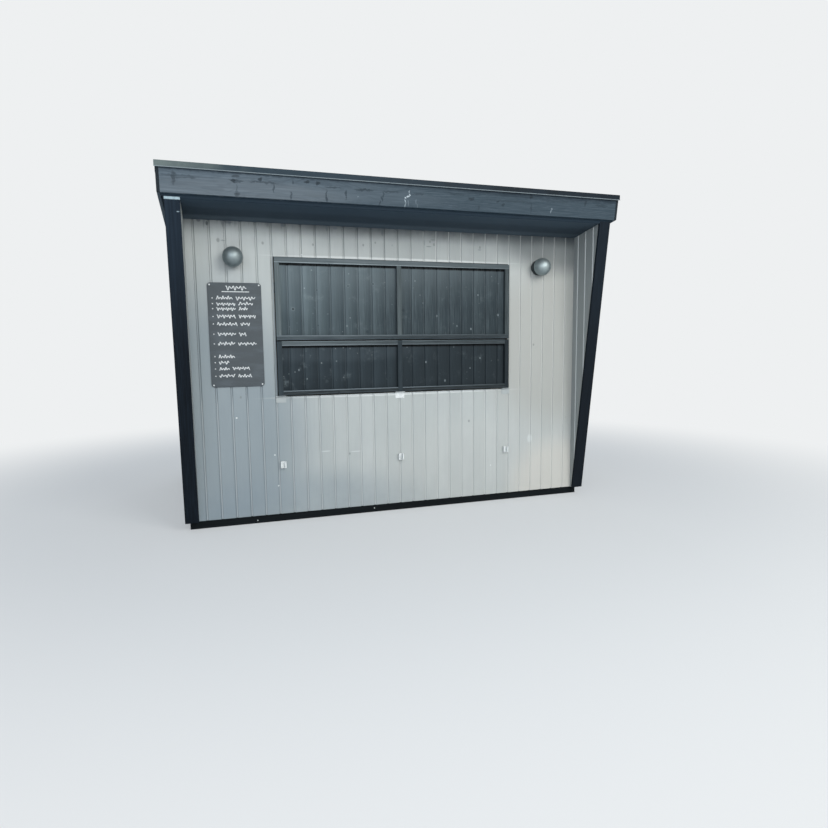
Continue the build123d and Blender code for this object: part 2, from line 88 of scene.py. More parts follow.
# Floor and light: a pale plain floor that fades into the background, an even pale sky, and four broad soft lamps. The
# strongest hangs in front on the right, two weaker ones in front on the left and one behind.
def linear(code):
    """An sRGB hex colour as linear red, green, blue and alpha."""
    parts = np.array([int(code[i:i + 2], 16) for i in (1, 3, 5)]) / 255
    curved = np.where(parts <= 0.04045, parts / 12.92, ((parts + 0.055) / 1.055) ** 2.4)
    return (*curved.tolist(), 1.0)


def add(tree, kind, inputs=None, **settings):
    """Adds one shader node: settings are its properties, and inputs are values, hex colours or other nodes' outputs by
    socket."""
    made = tree.nodes.new(kind)
    for name, value in settings.items():
        setattr(made, name, value)
    for name, value in (inputs or {}).items():
        socket = made.inputs[name]
        if isinstance(value, bpy.types.NodeSocket):
            tree.links.new(value, socket)
        else:
            socket.default_value = linear(value) if isinstance(value, str) else value
    return made


def own_place(tree):
    """The shaded point in the object's own metres."""
    return add(tree, "ShaderNodeTexCoord").outputs["Object"]


def blank(name):
    """A new material with an empty node tree."""
    material = bpy.data.materials.new(name)
    material.use_nodes = True
    material.node_tree.nodes.clear()
    return material, material.node_tree


def maths(tree, how, first, second=0.0):
    """The outcome of one operation on numbers, such as ADD or MAXIMUM."""
    return add(tree, "ShaderNodeMath", {0: first, 1: second}, operation=how).outputs[0]


def vector(tree, how, first, second=(0, 0, 0)):
    """The outcome of one operation on vectors, which is a number for LENGTH."""
    made = add(tree, "ShaderNodeVectorMath", {0: first, 1: second}, operation=how)
    return made.outputs["Value" if how == "LENGTH" else "Vector"]


def coordinate(tree, at, axis):
    """One of the three numbers of a vector, by index."""
    return add(tree, "ShaderNodeSeparateXYZ", {"Vector": at}).outputs[axis]


def mapped(tree, at, scale=(1, 1, 1), turn=(0, 0, 0)):
    """A vector scaled and then turned by angles round X, Y and Z."""
    return add(tree, "ShaderNodeMapping", {"Vector": at, "Scale": scale, "Rotation": turn}).outputs[0]


def scale_to(tree, value, low, high, start=0.0, stop=1.0):
    """A value from one range carried smoothly to another."""
    return add(tree, "ShaderNodeMapRange", {"Value": value, "From Min": start, "From Max": stop, "To Min": low,
                                            "To Max": high}, interpolation_type="SMOOTHSTEP").outputs["Result"]


def seen_rays(tree):
    """1 for rays that see the background, straight or by way of gloss or glass, and 0 for the light that it gives."""
    rays = add(tree, "ShaderNodeLightPath").outputs
    seen = maths(tree, "MAXIMUM", rays["Is Camera Ray"], rays["Is Transmission Ray"])
    return maths(tree, "MAXIMUM", seen, rays["Is Glossy Ray"])


background = "#eef0f1"
world = bpy.data.worlds.new("sky")
bpy.context.scene.world = world
world.use_nodes = True
sky = world.node_tree
sky.nodes.clear()
sky_light = add(sky, "ShaderNodeBackground", {"Color": "#dbe5f0", "Strength": 0.62})
sky_seen = add(sky, "ShaderNodeBackground", {"Color": background, "Strength": 1.0})
sky_mix = add(sky, "ShaderNodeMixShader", {0: seen_rays(sky), 1: sky_light.outputs[0], 2: sky_seen.outputs[0]})
add(sky, "ShaderNodeOutputWorld", {"Surface": sky_mix.outputs[0]})

aim_point = Vector((0.2, front_y, 1.1))
for name, place, size, power, tint in (("soft_key", (2.8, front_y - 7.0, 4.8), 4.2, 380, "#fffdf8"),
                                       ("soft_fill", (-4.6, front_y - 6.2, 4.0), 3.6, 80, "#eaf1ff"),
                                       ("soft_front", (-1.7, front_y - 7.6, 3.0), 2.0, 120, "#fbfdff"),
                                       ("soft_back", (1.0, 8.5, 4.2), 4.0, 170, "#f6faff")):
    lamp_data = bpy.data.lights.new(name, "AREA")
    lamp_data.size = size
    lamp_data.energy = power
    lamp_data.color = linear(tint)[:3]
    lamp = bpy.data.objects.new(name, lamp_data)
    aim = aim_point - Vector(place)
    lamp.matrix_world = Matrix.Translation(place) @ aim.to_track_quat("-Z", "Y").to_matrix().to_4x4()
    bpy.context.scene.collection.objects.link(lamp)

floor_reach, fade_near, fade_far, near_share = 60.0, 2.8, 6.5, 0.35
floor_mesh = bpy.data.meshes.new("floor")
floor_mesh.from_pydata([(-floor_reach, -floor_reach, 0), (floor_reach, -floor_reach, 0),
                        (floor_reach, floor_reach, 0), (-floor_reach, floor_reach, 0)], [], [(0, 1, 2, 3)])
floor = bpy.data.objects.new("floor", floor_mesh)
bpy.context.scene.collection.objects.link(floor)
floor_paint, tree = blank("studio_floor")
reach = vector(tree, "LENGTH", own_place(tree))
fade = maths(tree, "MULTIPLY", scale_to(tree, reach, near_share, 1.0, fade_near, fade_far), seen_rays(tree))
near_floor = add(tree, "ShaderNodeBsdfDiffuse", {"Color": "#cfd3d5"})
far_floor = add(tree, "ShaderNodeEmission", {"Color": background, "Strength": 1.0})
floor_mix = add(tree, "ShaderNodeMixShader", {0: fade, 1: near_floor.outputs[0], 2: far_floor.outputs[0]})
add(tree, "ShaderNodeOutputMaterial", {"Surface": floor_mix.outputs[0]})
floor_mesh.materials.append(floor_paint)


# Base: pressure-treated sills that stand on the ground, sawn joists between them and a floor of tight planed boards.
# The front sill is black with damp. The timber is used as it comes from the saw.
mm = 0.001
packed_weld, built_weld = 0.02 * mm, 0.01 * mm
flat_angle, arris_angle, sharp_angle = math.radians(1), math.radians(30), math.radians(35)


def body_of(node):
    """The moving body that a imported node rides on."""
    return nodes[node]["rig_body"]


def dress(node, material):
    """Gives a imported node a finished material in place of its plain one."""
    slots = nodes[node].data.materials
    slots.clear()
    slots.append(material)


def softened(node, material, arris):
    """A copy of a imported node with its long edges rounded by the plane, which stands for the node."""
    mesh = nodes[node].data.copy()
    worker = bmesh.new()
    worker.from_mesh(mesh)
    bmesh.ops.remove_doubles(worker, verts=worker.verts, dist=packed_weld)
    bmesh.ops.dissolve_limit(worker, angle_limit=flat_angle, verts=worker.verts, edges=worker.edges)
    worker.to_mesh(mesh)
    worker.free()
    mesh.materials.clear()
    mesh.materials.append(material)
    piece = bpy.data.objects.new(node + "_planed", mesh)
    bpy.context.scene.collection.objects.link(piece)
    rounding = piece.modifiers.new("arris", "BEVEL")
    rounding.width = arris
    rounding.segments = 2
    rounding.limit_method = "ANGLE"
    rounding.angle_limit = arris_angle
    rounding.use_clamp_overlap = True
    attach(piece, body_of(node))
    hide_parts(node)


def noise(tree, at, scale, detail, **more):
    """Noise from 0 to 1, with scale features to the metre and finer ones added to them."""
    return add(tree, "ShaderNodeTexNoise", {"Vector": at, "Scale": scale, "Detail": detail, **more}).outputs["Fac"]


def cells(tree, at, scale=1.0):
    """A cell pattern with scale cells to the metre, and a random number from 0 to 1 for each cell."""
    made = add(tree, "ShaderNodeTexVoronoi", {"Vector": at, "Scale": scale, "Randomness": 1.0})
    return made, add(tree, "ShaderNodeSeparateColor", {"Color": made.outputs["Color"]}).outputs[0]


def wood_marks(tree, grain, turn=0.0, fibre=3, streak=16, knot_gap=(420, 105), knot_size=9):
    """What a softwood board shows: fibre and broad streaks as noise drawn out along the grain, and knots as discs round
    the points of a cell pattern, with sizes in millimetres. grain is UV, where U runs along it, or an object axis."""
    coords = add(tree, "ShaderNodeTexCoord")
    board = add(tree, "ShaderNodeAttribute", attribute_name="board").outputs["Fac"]
    source = coords.outputs["UV" if grain == "UV" else "Object"]
    own_part = vector(tree, "MULTIPLY", board, (7.13, 3.71, 5.37))
    at = vector(tree, "ADD", mapped(tree, source, turn=(turn, 0, 0)), own_part)

    def stretch(along, across):
        scale = [1 / (across * mm)] * 3
        scale[{"UV": 0, "X": 0, "Y": 1, "Z": 2}[grain]] = 1 / (along * mm)
        return scale

    def drawn_out(along, across, detail, distortion=0.0):
        drawn = vector(tree, "MULTIPLY", at, stretch(along, across))
        return noise(tree, drawn, 1.0, detail, Roughness=0.6, Distortion=distortion)

    scaled = vector(tree, "MULTIPLY", at, stretch(*knot_gap))
    knots, chance = cells(tree, scaled)
    away = vector(tree, "SUBTRACT", scaled, knots.outputs["Position"])
    distance = vector(tree, "LENGTH", vector(tree, "MULTIPLY", away, [1 / s for s in stretch(*knot_gap)]))
    size = add(tree, "ShaderNodeMapRange", {"Value": chance, "From Min": 0.35, "From Max": 1.0, "To Min": 0.01 * mm,
                                            "To Max": knot_size * 1.6 * mm}).outputs["Result"]
    return {"at": at, "object": coords.outputs["Object"], "board": board,
            "girth": coordinate(tree, coords.outputs["UV"], 1),
            "fibre": drawn_out(60 * fibre, fibre, 4.0), "streak": drawn_out(40 * streak, streak, 3.0, 0.6),
            "patch": drawn_out(500, 260, 3.0),
            "knot": scale_to(tree, maths(tree, "DIVIDE", distance, size), 1.0, 0.0, 0.7, 1.25)}


def times(tree, first, second):
    """The product of two numbers."""
    return maths(tree, "MULTIPLY", first, second)


def mix(tree, factor, first, second):
    """Two colours mixed by a factor."""
    return add(tree, "ShaderNodeMix", {0: factor, 6: first, 7: second}, data_type="RGBA").outputs[2]


def tinted(tree, colour, code, value, amount, start=0.0, stop=1.0):
    """A colour with another laid over it: none of it where value is at start, and amount of it where it is at stop."""
    return mix(tree, scale_to(tree, value, 0.0, amount, start, stop), colour, code)


def surface(tree, colour, rough, height=None, strength=0.0, depth=0.0, sheen=0.5, metal=0.0):
    """Ends a material with a surface of that colour, roughness, sheen and share of metal. Its bump follows height and
    is depth metres deep at a strength of 1."""
    finish = {"Base Color": colour, "Roughness": rough, "Specular IOR Level": sheen, "Metallic": metal}
    if height is not None:
        bump = add(tree, "ShaderNodeBump", {"Strength": strength, "Distance": depth, "Height": height})
        finish["Normal"] = bump.outputs[0]
    shader = add(tree, "ShaderNodeBsdfPrincipled", finish)
    add(tree, "ShaderNodeOutputMaterial", {"Surface": shader.outputs[0]})


def sawn_wood(name, pale, dark, grain, rough, knots, turn=0.0, sheen=0.4):
    """Bare or soaked softwood: dark late wood drawn along the grain, brown knots, and a raised fibre."""
    material, tree = blank(name)
    marks = wood_marks(tree, grain, turn)
    colour = tinted(tree, pale, dark, marks["streak"], 0.75, 0.35, 0.7)
    colour = tinted(tree, colour, dark, marks["fibre"], 0.4, 0.4, 0.75)
    colour = mix(tree, times(tree, marks["knot"], knots), colour, "#3a2a1c")
    colour = tinted(tree, colour, dark, marks["board"], 0.25)
    height = maths(tree, "ADD", marks["fibre"], times(tree, marks["streak"], 0.5))
    surface(tree, colour, rough, height, 0.5, 0.4 * mm, sheen)
    return material


soaked_sill = {axis: sawn_wood(f"soaked_sill_{axis.lower()}", "#171c1f", "#0c1012", axis, 0.75, 0.3, sheen=0.08)
               for axis in ("X", "Y")}
sill_arris, sawn_arris = 2.5 * mm, 1.5 * mm
sawn_spruce = {axis: sawn_wood(f"sawn_spruce_{axis.lower()}", "#cfae7e", "#a97f4c", axis, 0.8, 0.8)
               for axis in ("X", "Y", "UV")}
for node, axis in (("front_sill", "X"), ("back_sill", "X"), ("left_sill", "Y"), ("right_sill", "Y")):
    softened(node, soaked_sill[axis], sill_arris)
softened("floor_joists", sawn_spruce["Y"], sawn_arris)


def prism_piece(name, rings, material, body="hut", seed=0, node=None, *, smooth=False):
    """Closed prisms from stacks of rings: an array of prisms, levels, points round the ring, and x, y, z. Neighbouring
    rings are joined by faces and the end rings are closed. U runs along the prism and V round it, in metres. Rings of
    wall boards come with their own tones and U and V, so that they run on across a cut."""
    rings, own_tone, own_spread = rings if isinstance(rings, tuple) else (rings, None, None)
    count, levels, around = rings.shape[:3]
    start = (np.arange(count) * levels * around)[:, None, None]
    level = (np.arange(levels - 1) * around)[None, :, None]
    step = np.arange(around)[None, None, :]
    after = (step + 1) % around
    low = start + level
    sides = np.stack([low + step, low + after, low + around + after, low + around + step], -1).reshape(-1, 4)
    first = start[:, 0] + np.arange(around)
    last = first + (levels - 1) * around
    mesh = bpy.data.meshes.new(name)
    mesh.from_pydata(rings.reshape(-1, 3).tolist(), [], sides.tolist() + first[:, ::-1].tolist() + last.tolist())
    tone = np.random.default_rng(seed).random(count) if own_tone is None else own_tone
    tone = np.repeat(tone, levels * around)
    mesh.attributes.new("board", "FLOAT", "POINT").data.foreach_set("value", tone.astype(np.float32))
    length = np.linalg.norm(np.diff(rings, axis=1), axis=-1).max(-1)
    run = np.concatenate([np.zeros((count, 1)), length.cumsum(1)], 1)
    round_step = np.linalg.norm(np.diff(rings, axis=2), axis=-1).max(1)
    girth = np.concatenate([np.zeros((count, 1)), round_step.cumsum(1)], 1)
    spread = np.stack(np.broadcast_arrays(run[:, :, None], girth[:, None, :]), -1)
    spread = (spread if own_spread is None else own_spread).reshape(-1, 2)
    corner = np.zeros(len(mesh.loops), np.int32)
    mesh.loops.foreach_get("vertex_index", corner)
    mesh.uv_layers.new(name="grain").data.foreach_set("uv", spread[corner].astype(np.float32).ravel())
    worker = bmesh.new()
    worker.from_mesh(mesh)
    bmesh.ops.remove_doubles(worker, verts=worker.verts, dist=built_weld)
    bmesh.ops.dissolve_degenerate(worker, dist=built_weld, edges=worker.edges)
    bmesh.ops.recalc_face_normals(worker, faces=worker.faces)
    worker.to_mesh(mesh)
    worker.free()
    if smooth:
        mesh.shade_smooth()
        mesh.set_sharp_from_angle(angle=sharp_angle)
    mesh.materials.append(material)
    piece = bpy.data.objects.new(name, mesh)
    bpy.context.scene.collection.objects.link(piece)
    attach(piece, body)
    if node:
        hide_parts(node)


def planed_bars(lows, highs, arris):
    """Rings of squared bars with rounded arrises: a rounded rectangle, drawn in a little at both ends, carried along
    each bar's longest side. lows and highs are the bars' corners."""
    arc_points, draw = 3, arris * 0.6
    lows, highs = np.array(lows, float).reshape(-1, 3), np.array(highs, float).reshape(-1, 3)
    size = highs - lows
    stacks = []
    for low, extent in zip(lows, size):
        axis = int(np.argmax(extent))
        first, second = [a for a in range(3) if a != axis]
        turn = np.linspace(0, np.pi / 2, arc_points)
        angle = (np.arange(4)[:, None] * np.pi / 2 + turn).ravel()
        corner = np.repeat(np.array([[1, 1], [-1, 1], [-1, -1], [1, -1]]), arc_points, 0)
        levels = []
        for run, shrink in ((0, draw), (draw, 0), (extent[axis] - draw, 0), (extent[axis], draw)):
            half = np.array([extent[first], extent[second]]) / 2
            ring = np.zeros((len(angle), 3))
            middle = low + extent / 2
            flat = corner * (half - arris) + (arris - shrink) * np.stack([np.cos(angle), np.sin(angle)], 1)
            ring[:, first] = middle[first] + flat[:, 0]
            ring[:, second] = middle[second] + flat[:, 1]
            ring[:, axis] = low[axis] + run
            levels.append(ring)
        stacks.append(levels)
    return np.array(stacks)


floor_low, floor_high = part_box("floor_boards")
floor_board_width = 0.12
floor_edges = np.append(np.arange(floor_low.y, floor_high.y, floor_board_width), floor_high.y)
joint_gap, plank_arris = 0.5 * mm, 1 * mm
prism_piece("floor_planks", planed_bars(
    [(floor_low.x, y + joint_gap, floor_low.z) for y in floor_edges[:-1]],
    [(floor_high.x, y - joint_gap, floor_high.z) for y in floor_edges[1:]], plank_arris),
    sawn_spruce["UV"], seed=3, node="floor_boards")


def heads(points, radius, height, around=10):
    """Rings of low domes, such as nail heads, at points on a face that looks to the front."""
    turn = np.linspace(0, 2 * np.pi, around, endpoint=False)
    circle = -np.stack([np.cos(turn), np.zeros(around), np.sin(turn)], 1)
    outward = np.array([0, -height, 0])
    levels = [(1.0, 0.0), (0.96, 0.45), (0.7, 0.85), (0.3, 1.0)]
    return np.stack([np.array(points)[:, None] + radius * part * circle + rise * outward for part, rise in levels], 1)


pale_pegs = sawn_wood("weathered_pegs", "#c3c9c8", "#8f9693", "Z", 0.6, 0.1)
sill_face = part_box("front_sill")[0].y
peg_points, peg_radius, peg_height = [(-1.209, sill_face, 0.024), (-0.245, sill_face, 0.034)], 5.5 * mm, 3 * mm
prism_piece("sill_pegs", heads(peg_points, peg_radius, peg_height), pale_pegs, seed=4)


# Wall frames: studs with a lining of unfinished plywood nailed on inside, seen only through the open hatch. Its sheets
# meet every 1.2 m.
def plywood(name, axis):
    """Birch-faced plywood: long faint figure, upright, with a fine dark line at each sheet's edge along an axis."""
    material, tree = blank(name)
    marks = wood_marks(tree, "Z", fibre=2, streak=30, knot_gap=(1500, 600), knot_size=8)
    place = maths(tree, "FRACT", times(tree, coordinate(tree, marks["object"], axis), 1 / sheet_length))
    from_middle = maths(tree, "ABSOLUTE", maths(tree, "SUBTRACT", place, 0.5))
    colour = tinted(tree, "#d9c39c", "#c3a577", marks["streak"], 0.6, 0.3, 0.75)
    colour = tinted(tree, colour, "#5a4630", from_middle, 0.8, 0.4975, 0.4995)
    surface(tree, colour, 0.7, marks["fibre"], 0.3, 0.2 * mm)
    return material


sheet_length = 1.2
lining = {"X": plywood("plywood_lining_x", 0), "Y": plywood("plywood_lining_y", 1)}
for node, axis in (("front_wall_left", "X"), ("front_wall_right", "X"), ("front_wall_above_hatch", "X"),
                   ("front_wall_below_hatch", "X"), ("back_wall", "X"), ("left_wall", "Y"),
                   ("right_wall_front", "Y"), ("right_wall_back", "Y"), ("right_wall_above_door", "Y")):
    dress(node, lining[axis])


# Wall boards: planed softwood with a rebate on both edges, nailed upright, so that a flat channel with one sloped side
# shows at each joint. They are painted light grey. Black paint from the soffit has run down on to the front boards.
# Painted shade darkens the front under the roof and at the lower left, and the wings' faces; painted light pales the
# front round the hatch and in its channels, and painted light and shade tint its right side.
board_pitch, channel_width, channel_depth, board_arris = 112.5 * mm, 16 * mm, 8 * mm, 2 * mm
slope_foot, slope_head = 13 * mm, 17 * mm
board_thickness = 19 * mm
joint_width, joint_depth = 1.5 * mm, 14 * mm
face_steps, tone_count = 8, 64
board_gap, board_cup, board_stagger, slope_crest = 0.2 * mm, 0.5 * mm, 0.5 * mm, 0.7 * mm


def board_outline():
    """Across and depth of one board, once round: back, the open joint, the channel's floor, its sloped far side, the
    face in short steps with a sine-squared cup, and a quarter-round arris."""
    turn = np.linspace(0, np.pi / 2, 4)
    rise = np.array([[slope_head, slope_crest], [channel_width + board_arris, 0]])
    fall = np.stack([board_pitch - board_gap - board_arris + board_arris * np.sin(turn),
                     board_arris * (1 - np.cos(turn))], 1)
    t = np.linspace(0, 1, face_steps + 1)[1:-1]
    face = np.stack([rise[-1, 0] + t * (fall[0, 0] - rise[-1, 0]), board_cup * np.sin(np.pi * t) ** 2], 1)
    joint = [[0, board_thickness], [0, joint_depth], [joint_width, joint_depth], [joint_width, channel_depth],
             [slope_foot, channel_depth]]
    return np.concatenate([joint, rise, face, fall, [[board_pitch - board_gap, board_thickness]]])


def board_rings(origin, along, inward, first, zones, kink=None, thickness=board_thickness, seed=0):
    """Rings of upright boards on a lattice that starts at first, with each board's tone and U and V. Each zone is a
    stretch of the wall with functions of the distance across and the depth for the boards' lower and upper ends.
    Boards are clipped at a zone's edges, and the point nearest to a kink in the outline is moved on to it."""
    outline = board_outline()
    outline[[0, -1], 1] = thickness
    girth = np.append(0, np.linalg.norm(np.diff(outline, axis=0), axis=1).cumsum())
    shades = np.random.default_rng(seed).random((2, tone_count))
    stacks, tones, spreads = [], [], []
    for start, stop, low, high in zones:
        index = np.arange(np.floor((start - first) / board_pitch), np.ceil((stop - first) / board_pitch)).astype(int)
        uncut = (first + index * board_pitch)[:, None] + outline[:, 0]
        across = np.clip(uncut, start, stop)
        kept = np.ptp(across, axis=1) > 1 * mm
        uncut, across, index = uncut[kept], across[kept], index[kept]
        if kink is not None:
            nearest = np.abs(across - kink).argmin(1)
            rows = np.flatnonzero((across.min(1) < kink) & (across.max(1) > kink))
            across[rows, nearest[rows]] = kink
        depth = np.tile(outline[:, 1], (len(across), 1))
        cut_depth = np.interp(stop - uncut[:, 0], outline[2:-1, 0], outline[2:-1, 1])
        depth[:, 1:-1] = np.where(uncut[:, 1:-1] > stop, cut_depth[:, None], depth[:, 1:-1])
        depth[:, 1:-1] += board_stagger * shades[0, index % tone_count][:, None]
        ends = np.stack([low(across, depth), high(across, depth)], 1)
        stacks.append(origin + across[:, None, :, None] * along + depth[:, None, :, None] * inward
                      + ends[..., None] * np.array([0, 0, 1.0]))
        tones.append(shades[1, index % tone_count])
        spreads.append(np.stack(np.broadcast_arrays(ends, girth), -1))
    return np.concatenate(stacks), np.concatenate(tones), np.concatenate(spreads)


def level(height):
    """The same height all along a wall."""
    return lambda across, depth: np.full_like(across, height)


def spot(tree, at, centre, size):
    """1 well inside an ellipsoid round a point of the object, fading to 0 at its edge. Sizes are half widths."""
    away = vector(tree, "MULTIPLY", vector(tree, "SUBTRACT", at, centre), [1 / s for s in size])
    return scale_to(tree, vector(tree, "LENGTH", away), 1.0, 0.0, 0.5, 1.0)


def band(tree, value, low, high, start, full, wane, end):
    """low up to start, high from full to wane, and 0 beyond end."""
    return times(tree, scale_to(tree, value, low, high, start, full), scale_to(tree, value, 1.0, 0.0, wane, end))


def joint_dirt_and_light(tree, marks, colour, amount, slope, clean, lit_channel=None):
    """Darkens a board's open joint, and less so the channel beside it, by the distance round the board's section. It
    can also paint the channel's floor paler, as painted light, and lay a painted highlight colour on the channel's
    sloped side, as strong as clean."""
    girth = marks["girth"]
    edge = board_thickness + joint_width - channel_depth
    floor_end = edge + slope_foot - joint_width
    crack = band(tree, girth, amount, 0.06, edge - 0.5 * mm, edge + 1.0 * mm, floor_end - 2 * mm, floor_end + 1 * mm)
    colour = mix(tree, crack, colour, "#2b3033")
    # Painted light: a paler channel floor.
    if lit_channel:
        channel = band(tree, girth, 0.0, 1.0, edge + 4 * mm, edge + 8 * mm, floor_end + 6 * mm, floor_end + 9 * mm)
        colour = mix(tree, times(tree, channel, lit_channel), colour, "#f4f6f4")
    # Painted highlight on the channel's sloped side.
    if slope:
        side = band(tree, girth, 0.0, clean, floor_end, floor_end + 1.5 * mm, floor_end + 8 * mm,
                    floor_end + 10.5 * mm)
        colour = mix(tree, side, colour, slope)
    return colour


def grey_paint(name, stains_with_light_and_shade=False, boards=True, spots=(), shade=0.0, slope=None):
    """Light grey acrylic house paint on planed spruce: nearly matt, thin over knots, with the grain just showing.
    The stained kind has painted shade under the soffit along its top, runs of black soffit paint, grime along its foot
    and channel floors painted paler as painted light, more so to the right and low down. Each spot is a centre, half
    widths, a colour and how strong it is. shade is how far the faces are darkened as painted shade, and the sloped side
    of each channel can take a painted highlight colour."""
    material, tree = blank(name)
    marks = wood_marks(tree, "UV", streak=14, knot_gap=(520, 112))
    colour = tinted(tree, "#b3b8b6", "#abb0af", marks["patch"], 1.0, 0.3, 0.7)
    colour = tinted(tree, colour, "#a4aaa8", marks["board"], 0.5)
    colour = tinted(tree, colour, "#a0a4a3", marks["streak"], 0.3, 0.5, 0.8)
    colour = tinted(tree, colour, "#8b9092", marks["fibre"], 0.22, 0.5, 0.8)
    colour = mix(tree, times(tree, marks["knot"], 0.3), colour, "#787c79")
    if stains_with_light_and_shade:
        across, height = coordinate(tree, marks["object"], 0), coordinate(tree, marks["object"], 2)
        # Painted shade: the boards darken up towards the soffit, a little less at the far left.
        haze = times(tree, noise(tree, marks["object"], 6.0, 4.0), 0.06)
        soffit_shade = scale_to(tree, maths(tree, "ADD", height, haze), 0.0, 1.0, soffit_shade_foot, soffit_shade_head)
        soffit_shade = times(tree, soffit_shade, scale_to(tree, across, 0.62, 0.88, -1.3, -0.6))
        colour = mix(tree, soffit_shade, colour, "#2b3338")
        runs = noise(tree, mapped(tree, marks["object"], (1 / (30 * mm), 1, 4.0)), 1.0, 4.0)
        above_runs = maths(tree, "SUBTRACT", height, scale_to(tree, runs, short_run, long_run, 0.42, 0.75))
        wet = times(tree, scale_to(tree, above_runs, 0.0, 1.0, -0.012, 0.05),
                    scale_to(tree, across, 1.0, 0.35, -1.2, -0.2))
        colour = mix(tree, times(tree, wet, 0.6), colour, "#444c52")
        grime = scale_to(tree, noise(tree, marks["object"], 9.0, 5.0), 0.2, 1.0, 0.35, 0.7)
        foot = times(tree, times(tree, scale_to(tree, height, 1.0, 0.0, 0.08, 0.5), grime),
                     scale_to(tree, across, 1.0, 0.2, -0.1, 0.5))
        colour = mix(tree, times(tree, foot, 0.3), colour, "#858b89")
    for centre, half, tint, amount in spots:
        colour = mix(tree, times(tree, spot(tree, marks["object"], centre, half), amount), colour, tint)
    if boards:
        # Painted shade over the boards' faces.
        if shade:
            colour = mix(tree, shade, colour, "#3d464b")
        dirt, lit_channel = 0.85, None
        # The joint dirt thins to the right and low down, where the channel floors take painted light.
        if stains_with_light_and_shade:
            dirt = times(tree, scale_to(tree, across, 1.0, 0.1, -0.1, 0.4),
                         scale_to(tree, height, 0.1, 0.85, 0.9, 1.1))
            lit_channel = scale_to(tree, dirt, 0.22, 0.0, 0.08, 0.85)
        colour = joint_dirt_and_light(tree, marks, colour, dirt, slope, 0.9, lit_channel)
    relief = maths(tree, "ADD", times(tree, marks["fibre"], 0.5), times(tree, marks["streak"], 0.6))
    relief = maths(tree, "ADD", relief, times(tree, marks["knot"], 0.5))
    surface(tree, colour, scale_to(tree, marks["streak"], 0.52, 0.68), relief, 0.35, 0.4 * mm)
    return material


soffit_shade_foot, soffit_shade_head, short_run, long_run = 2.262, 2.39, 2.352, 2.275
grey_boards = grey_paint("grey_painted_boards")
wall_knots = [
    ((x, front_y, z), (half, 0.03, half * 1.3), "#6d7270", 0.55) for x, z, half in
    ((-1.414, 2.206, 0.016), (-1.089, 2.197, 0.012), (-0.705, 2.200, 0.010), (-0.30, 2.212, 0.010),
    (0.306, 2.240, 0.013), (0.27, 2.262, 0.010), (0.724, 2.232, 0.012), (-0.20, 2.235, 0.009), (-1.30, 1.02, 0.010),
    (0.62, 0.74, 0.012), (-0.45, 0.52, 0.010), (1.25, 1.40, 0.011))]
wall_smears = [
    ((x, front_y, z), (wide, 0.03, tall), tint, amount) for x, z, wide, tall, tint, amount in
    ((-1.546, 2.345, 0.020, 0.016, "#39434a", 0.7), (-1.488, 2.325, 0.012, 0.020, "#2f3940", 0.8),
    (-1.334, 2.340, 0.034, 0.014, "#414b52", 0.6), (-0.928, 2.340, 0.022, 0.020, "#414b52", 0.6),
    (-0.592, 2.335, 0.016, 0.034, "#414b52", 0.6), (-0.526, 2.335, 0.022, 0.014, "#464f57", 0.5),
    (-0.138, 2.320, 0.014, 0.040, "#414b52", 0.5), (-1.378, 2.205, 0.022, 0.008, "#7f8786", 0.6),
    (0.296, 2.278, 0.028, 0.007, "#6d7475", 0.6), (0.260, 2.222, 0.030, 0.006, "#747b7b", 0.6),
    (0.222, 2.250, 0.006, 0.030, "#7a8181", 0.5), (0.720, 2.212, 0.020, 0.010, "#858c8b", 0.6))]
wall_drops = [
    ((x, front_y, z), (half, 0.03, half), "#e0e3e2", 0.9) for x, z, half in
    ((-0.796, 2.121, 0.007), (-1.337, 0.860, 0.008), (-1.057, 0.549, 0.007), (-1.036, 0.297, 0.008),
    (0.83, 0.33, 0.006))]
wall_smudges = [
    ((x, front_y, z), (wide, 0.03, tall), "#d0d5d4", 0.5) for x, z, wide, tall in
    ((-0.646, 0.553, 0.05, 0.006), (-0.396, 0.536, 0.06, 0.006), (1.22, 0.55, 0.03, 0.05))]
# Painted shade under the roof: darker at the top right, and more faintly across the upper wall.
roof_shade = [
    ((1.5, front_y, 2.36), (0.75, 0.1, 0.42), "#3a4347", 0.62),
    ((0.35, front_y, 2.30), (1.4, 0.1, 0.34), "#3d464b", 0.25)]
# Painted light and shade on the right: warmer and a little darker in the middle, warmer and paler low down.
right_side_light_and_shade = [
    ((1.5, front_y, 1.4), (0.95, 0.3, 0.95), "#a5a6a1", 0.85),
    ((0.75, front_y, 0.25), (1.35, 0.3, 0.7), "#c6c6c1", 0.2),
    ((1.5, front_y, 0.1), (0.6, 0.3, 0.55), "#c9c5bc", 0.6)]
# Painted shade: darker and bluer at the lower left and along the left part of the foot.
lower_left_shade = [
    ((-1.75, front_y, 0.75), (1.25, 1.0, 1.45), "#707f88", 0.66),
    ((-0.75, front_y, 0.0), (1.3, 1.0, 0.5), "#808d95", 0.45)]
# Painted light: paler bands just below and above the hatch.
hatch_rim_light = [
    ((-0.011, front_y, z), (1.25, 0.1, half), "#e6eae9", amount) for z, half, amount in
    ((1.005, 0.018, 0.45), (2.107, 0.015, 0.45))]
grey_front = grey_paint("grey_painted_front", stains_with_light_and_shade=True,
                        spots=lower_left_shade + right_side_light_and_shade + wall_knots + wall_smears + wall_drops + wall_smudges
                        + roof_shade + hatch_rim_light)
# The wings' faces are darkened as painted shade, and each channel's sloped side is painted pale as a painted highlight.
grey_wings = grey_paint("grey_painted_wings", shade=0.38, slope="#c9cecc")
